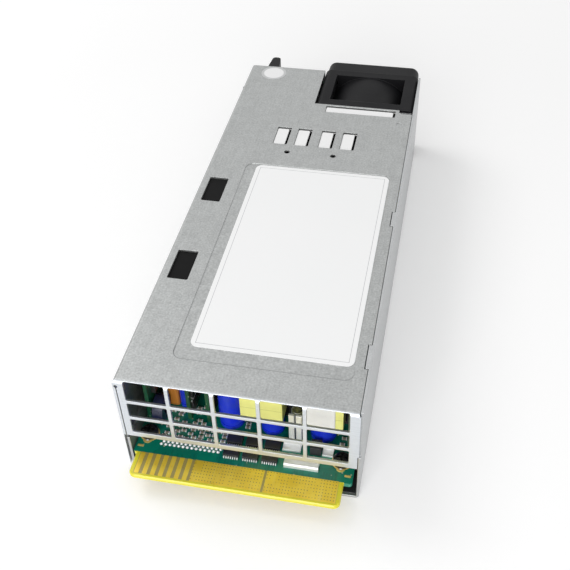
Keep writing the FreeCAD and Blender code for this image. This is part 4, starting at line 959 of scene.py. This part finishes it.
dress(grained(
    "inlet_black", (0.020, 0.020, 0.022), 0.40, scale=2200.0, depth=0.3, edge=0.0004
), "ac_inlet")
dress(grained("pin_nickel", (0.66, 0.63, 0.56), 0.22, metallic=1.0, edge=0.0003), "inlet_pins")
dress(grained(
    "light_pipe_green", (0.10, 0.62, 0.24), 0.15, scale=600.0, depth=0.1, relief=0.05,
    Transmission_Weight=0.6,
), "status_led")


# ---- Release latch
# A black acetal lever on a steel pin in a folded galvanised bracket, pushed out by a torsion
# spring of steel wire round the pin.

dress(grained(
    "latch_acetal", (0.007, 0.007, 0.008), 0.45, scale=2000.0, depth=0.25, edge=0.0004,
    Specular_IOR_Level=0.15,
), "latch_lever")
dress(zinc_steel(
    "bracket_zinc_steel", (0.58, 0.58, 0.56), flake=420.0, depth=0.12, edge_width=0.0002
), "latch_bracket")
dress(grained("latch_pin_steel", (0.62, 0.62, 0.64), 0.25, scale=3000.0, metallic=1.0), "latch_pin")

pin_low, pin_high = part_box("latch_pin")
pivot = (pin_low + pin_high) / 2
coil_low, coil_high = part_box("latch_spring")
wire = 0.00022
coil_radius = (coil_high.x - coil_low.x) / 2 - wire
coil_turns = 2.5
sweep = np.linspace(0, 2 * math.pi * coil_turns, 90)
coil = np.stack([
    pivot.x + coil_radius * np.cos(sweep), pivot.y - coil_radius * np.sin(sweep),
    np.linspace(coil_low.z + wire, coil_high.z - wire, 90),
], axis=1)
leg_gap = 0.0003
inward = np.linspace(coil_high.y, pivot.y + leg_gap, 8)
first_leg, last_leg = (
    np.column_stack([np.full(8, end[0]), run, np.full(8, end[2])])
    for end, run in ((coil[0], inward), (coil[-1], inward[::-1]))
)
spring_wire = round_tube(np.concatenate([first_leg, coil, last_leg]), wire, around=10)
spring_steel = grained("spring_wire_steel", (0.50, 0.50, 0.52), 0.28, scale=3000.0, metallic=1.0)
spring = make_piece("latch_spring_wire", [spring_wire], spring_steel)
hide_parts("latch_spring")


# ---- Films under the windows
# Black and white insulating films, cut to shape and stuck to the inside of the cover. They
# are seen in its windows.

dress(grained(
    "black_insulating_film", (0.003, 0.003, 0.0032), 0.6, scale=700.0, depth=0.2,
    Specular_IOR_Level=0.12,
), "window_film")
dress(grained(
    "white_insulating_film", (0.94, 0.94, 0.94), 0.5, scale=700.0, depth=0.04
), "window_sheet")


# ---- Cover
# Galvanised sheet folded down on the left and at the front, where the air grille is
# punched. Its flakes are finer than the tray's, its front face has a painted sheen, and the
# recess for the label is pressed in, with painted shade along its front edge.

def past_box(place, low, high, inset):
    """How far each point lies past a box along each axis; the box is smaller by the inset."""
    apart = vector("ABSOLUTE", vector("SUBTRACT", place, (low + high) / 2))
    return vector("SUBTRACT", apart, (high - low) / 2 - Vector((inset, inset, inset)))


def larger_side(past):
    """The larger of the distances along X and Y."""
    sides = node("SeparateXYZ", {"Vector": past}).outputs
    return number("MAXIMUM", sides["X"], sides["Y"])


def paint_cover_sheen_and_shade(material, face, low, high, corner=0.003, width=0.00022):
    """Paints a streaky, brighter sheen on the front face within a sheet's thickness, and a line of
    painted shade at the pressed recess, near its front: the distance to a rounded rectangle is that
    to its corners' box, less the radius."""
    tree = material.node_tree
    base = tree.nodes["Principled BSDF"].inputs["Base Color"]
    place = node("TexCoord", {}, tree).outputs["Object"]
    depth = node("SeparateXYZ", {"Vector": place}).outputs["Y"]
    # Painted sheen: the front face, within a sheet's thickness, gets a brighter streaky tone.
    front_sheen_mask = number("MULTIPLY", steps(depth, face + 0.0011, face + 0.0005), 0.85)
    front_sheen_tone = between(
        streaks(place, (90.0, 1.0, 2200.0)), (0.60, 0.63, 0.67), (0.79, 0.83, 0.88)
    )
    past = past_box(place, low, high, corner)
    outside = vector("LENGTH", vector("MAXIMUM", past, (0, 0, 0)), output="Value")
    inside = number("MINIMUM", larger_side(past), 0.0)
    reach = number("ADD", outside, inside)
    off = number("ABSOLUTE", number("SUBTRACT", reach, corner))
    near_front = number("MULTIPLY", steps(depth, low.y + 0.006, low.y + 0.001), 0.6)
    # Painted shade: a dark line along the recess outline, strongest near its front.
    line = number("MULTIPLY", steps(off, width, width * 0.3), near_front)
    color = between(front_sheen_mask, base.links[0].from_socket, front_sheen_tone)
    put(base, between(line, color, (0.12, 0.125, 0.125)))


cover_steel = zinc_steel(
    "cover_zinc_steel", (0.41, 0.42, 0.417), flake=520.0, depth=0.36, edge_width=0.00025
)
label_low, label_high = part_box("rating_label")
recess_low = Vector((label_low.x - 0.004, label_low.y - 0.0055, -1))
recess_high = Vector((label_high.x + 0.0005, label_high.y + 0.0005, 1))
paint_cover_sheen_and_shade(cover_steel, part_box("top_cover")[0].y, recess_low, recess_high)
dress(cover_steel, "top_cover")


# ---- Cover screws
# Nickel-plated steel screws with countersunk heads and a cross recess, driven through the
# left wall into the tray's lip.

def flush_head(radius, neck, depth, recess, centre, rings=18, around=64):
    """Countersunk head: flat face less a cross recess, then a cone down to the neck."""
    share, y, z = disc(radius, rings, around)
    sunk = np.where(in_cross(y, z, recess), depth * 0.8 * (1 - 0.6 * share), 0.0)
    rise = np.concatenate([sunk, np.full((1, around), depth)])
    rim = [np.concatenate([side, side[-1:] * neck / radius]) for side in (y, z)]
    return laid(*rim, rise, "X", centre)


shank_start = 0.0009
shank_radius = 0.0015
head_depth = 0.001
recess = 0.0015
cover_screws = []
for low, high in solid_boxes("cover_screws"):
    x, y, z = (low[0], *((low + high) / 2)[1:])
    radius = (high[1] - low[1]) / 2
    start = x + shank_start
    cover_screws.append(flush_head(radius, shank_radius, head_depth, recess, (x, y, z)))
    cover_screws.append(threaded_shank(shank_radius, (start, y, z), high[0] - start, 0.0005, "X"))
screw_nickel = grained("screw_nickel", (0.62, 0.60, 0.55), 0.26, scale=2000.0, metallic=1.0)
cover_screw_set = make_piece("cover_screw_set", cover_screws, screw_nickel, sharp=25.0)
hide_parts("cover_screws")


# ---- Blank label and seal sticker
# Satin white label stock in the recess, left bare but for one thin rule round its border,
# and a round white sticker by the latch.

def ruled_paper(name, low, high, inset, rule):
    """White stock with a fine tooth, and one thin grey rule at an inset from the piece's edges."""
    material, shader, place = new_material(name, 0.45, Coat_Weight=0.15)
    past = larger_side(past_box(place, low, high, 0.0))
    off = number("ABSOLUTE", number("ADD", past, inset))
    tooth = noise(place, 3200.0)
    white = between(noise(place, 30.0), (0.98, 0.98, 0.98), (0.95, 0.96, 0.96))
    color = between(steps(off, rule, rule * 0.5), white, (0.45, 0.46, 0.47))
    finish(shader, color, tooth, 0.06, number("MULTIPLY_ADD", tooth, 0.2, 0.36))
    return material


def ringed_paper(name, low, high, rim):
    """White round stock whose outer rim is a pale grey."""
    material, shader, place = new_material(name, 0.4)
    centred = vector("SUBTRACT", place, (low + high) / 2)
    flat = stretched(centred, (1.0, 1.0, 0.0))
    radius = (high.x - low.x) / 2
    edge = steps(vector("LENGTH", flat, output="Value"), radius - rim, radius - rim * 0.6)
    tooth = noise(place, 2400.0)
    white = between(tooth, (0.92, 0.92, 0.92), (0.88, 0.88, 0.88))
    finish(shader, between(edge, white, (0.55, 0.56, 0.56)), tooth, 0.06)
    return material


dress(ruled_paper(
    "label_stock", label_low, label_high, inset=0.0016, rule=0.0001
), "rating_label")
dress(ringed_paper("sticker_stock", *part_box("seal_sticker"), rim=0.0014), "seal_sticker")


# ---- Studio: floor, lamps and room light
# White floor in a white room, under a soft lamp above the left side and a broad one in front.
# The camera, and rays off gloss or through glass, see the room and the far floor as white.

def seen_white(tree):
    """1 for the rays that show the backdrop: from the camera, off gloss or through glass."""
    paths = node("LightPath", {}, tree).outputs
    shown = number("MAXIMUM", paths["Is Camera Ray"], paths["Is Glossy Ray"])
    return number("MAXIMUM", shown, paths["Is Transmission Ray"])


floor_reach = 2
floor_level = -0.0002
corners = [
    (x * floor_reach, y * floor_reach, floor_level) for x, y in ((-1, -1), (1, -1), (1, 1), (-1, 1))
]
floor_mesh = bpy.data.meshes.new("floor")
floor_mesh.from_pydata(corners, [], [(0, 1, 2, 3)])
floor = bpy.data.objects.new("floor", floor_mesh)
scene.collection.objects.link(floor)
floor_white = bpy.data.materials.new("floor_white")
floor_white.use_nodes = True
tree = floor_white.node_tree
tree.nodes.remove(tree.nodes["Principled BSDF"])
paint = node("BsdfDiffuse", {"Color": (0.90, 0.90, 0.90)}, tree)
spot = node("TexCoord", {}, tree).outputs["Object"]
off_centre = vector("LENGTH", spot, output="Value")
beyond_lamps = number("MULTIPLY_ADD", steps(off_centre, 0.2, 1.4), 0.28, 0.19)
shine = number("MULTIPLY", seen_white(tree), beyond_lamps)
glow = node("Emission", {"Color": (1, 1, 1), "Strength": shine})
both = node("AddShader", {0: paint.outputs["BSDF"], 1: glow.outputs["Emission"]})
put(tree.nodes["Material Output"].inputs["Surface"], both.outputs["Shader"])
floor_mesh.materials.append(floor_white)

for name, place, size, power in (
    ("key_softbox", (-0.62, 0.22, 0.82), 0.5, 2.4),
    ("fill_softbox", (-0.05, -1.0, 0.38), 0.7, 7.0),
):
    lamp = bpy.data.lights.new(name, "AREA")
    lamp.size = size
    lamp.energy = power
    holder = bpy.data.objects.new(name, lamp)
    holder.location = place
    holder.rotation_euler = Vector(place).to_track_quat("Z", "Y").to_euler()
    scene.collection.objects.link(holder)

room = bpy.data.worlds.new("soft_room")
room.use_nodes = True
tree = room.node_tree
backdrop = tree.nodes["Background"]
put(backdrop.inputs["Color"], (1, 1, 1))
put(backdrop.inputs["Strength"], number("MULTIPLY_ADD", seen_white(tree), 0.45, 0.55))
scene.world = room
scene.view_settings.view_transform = "Standard"
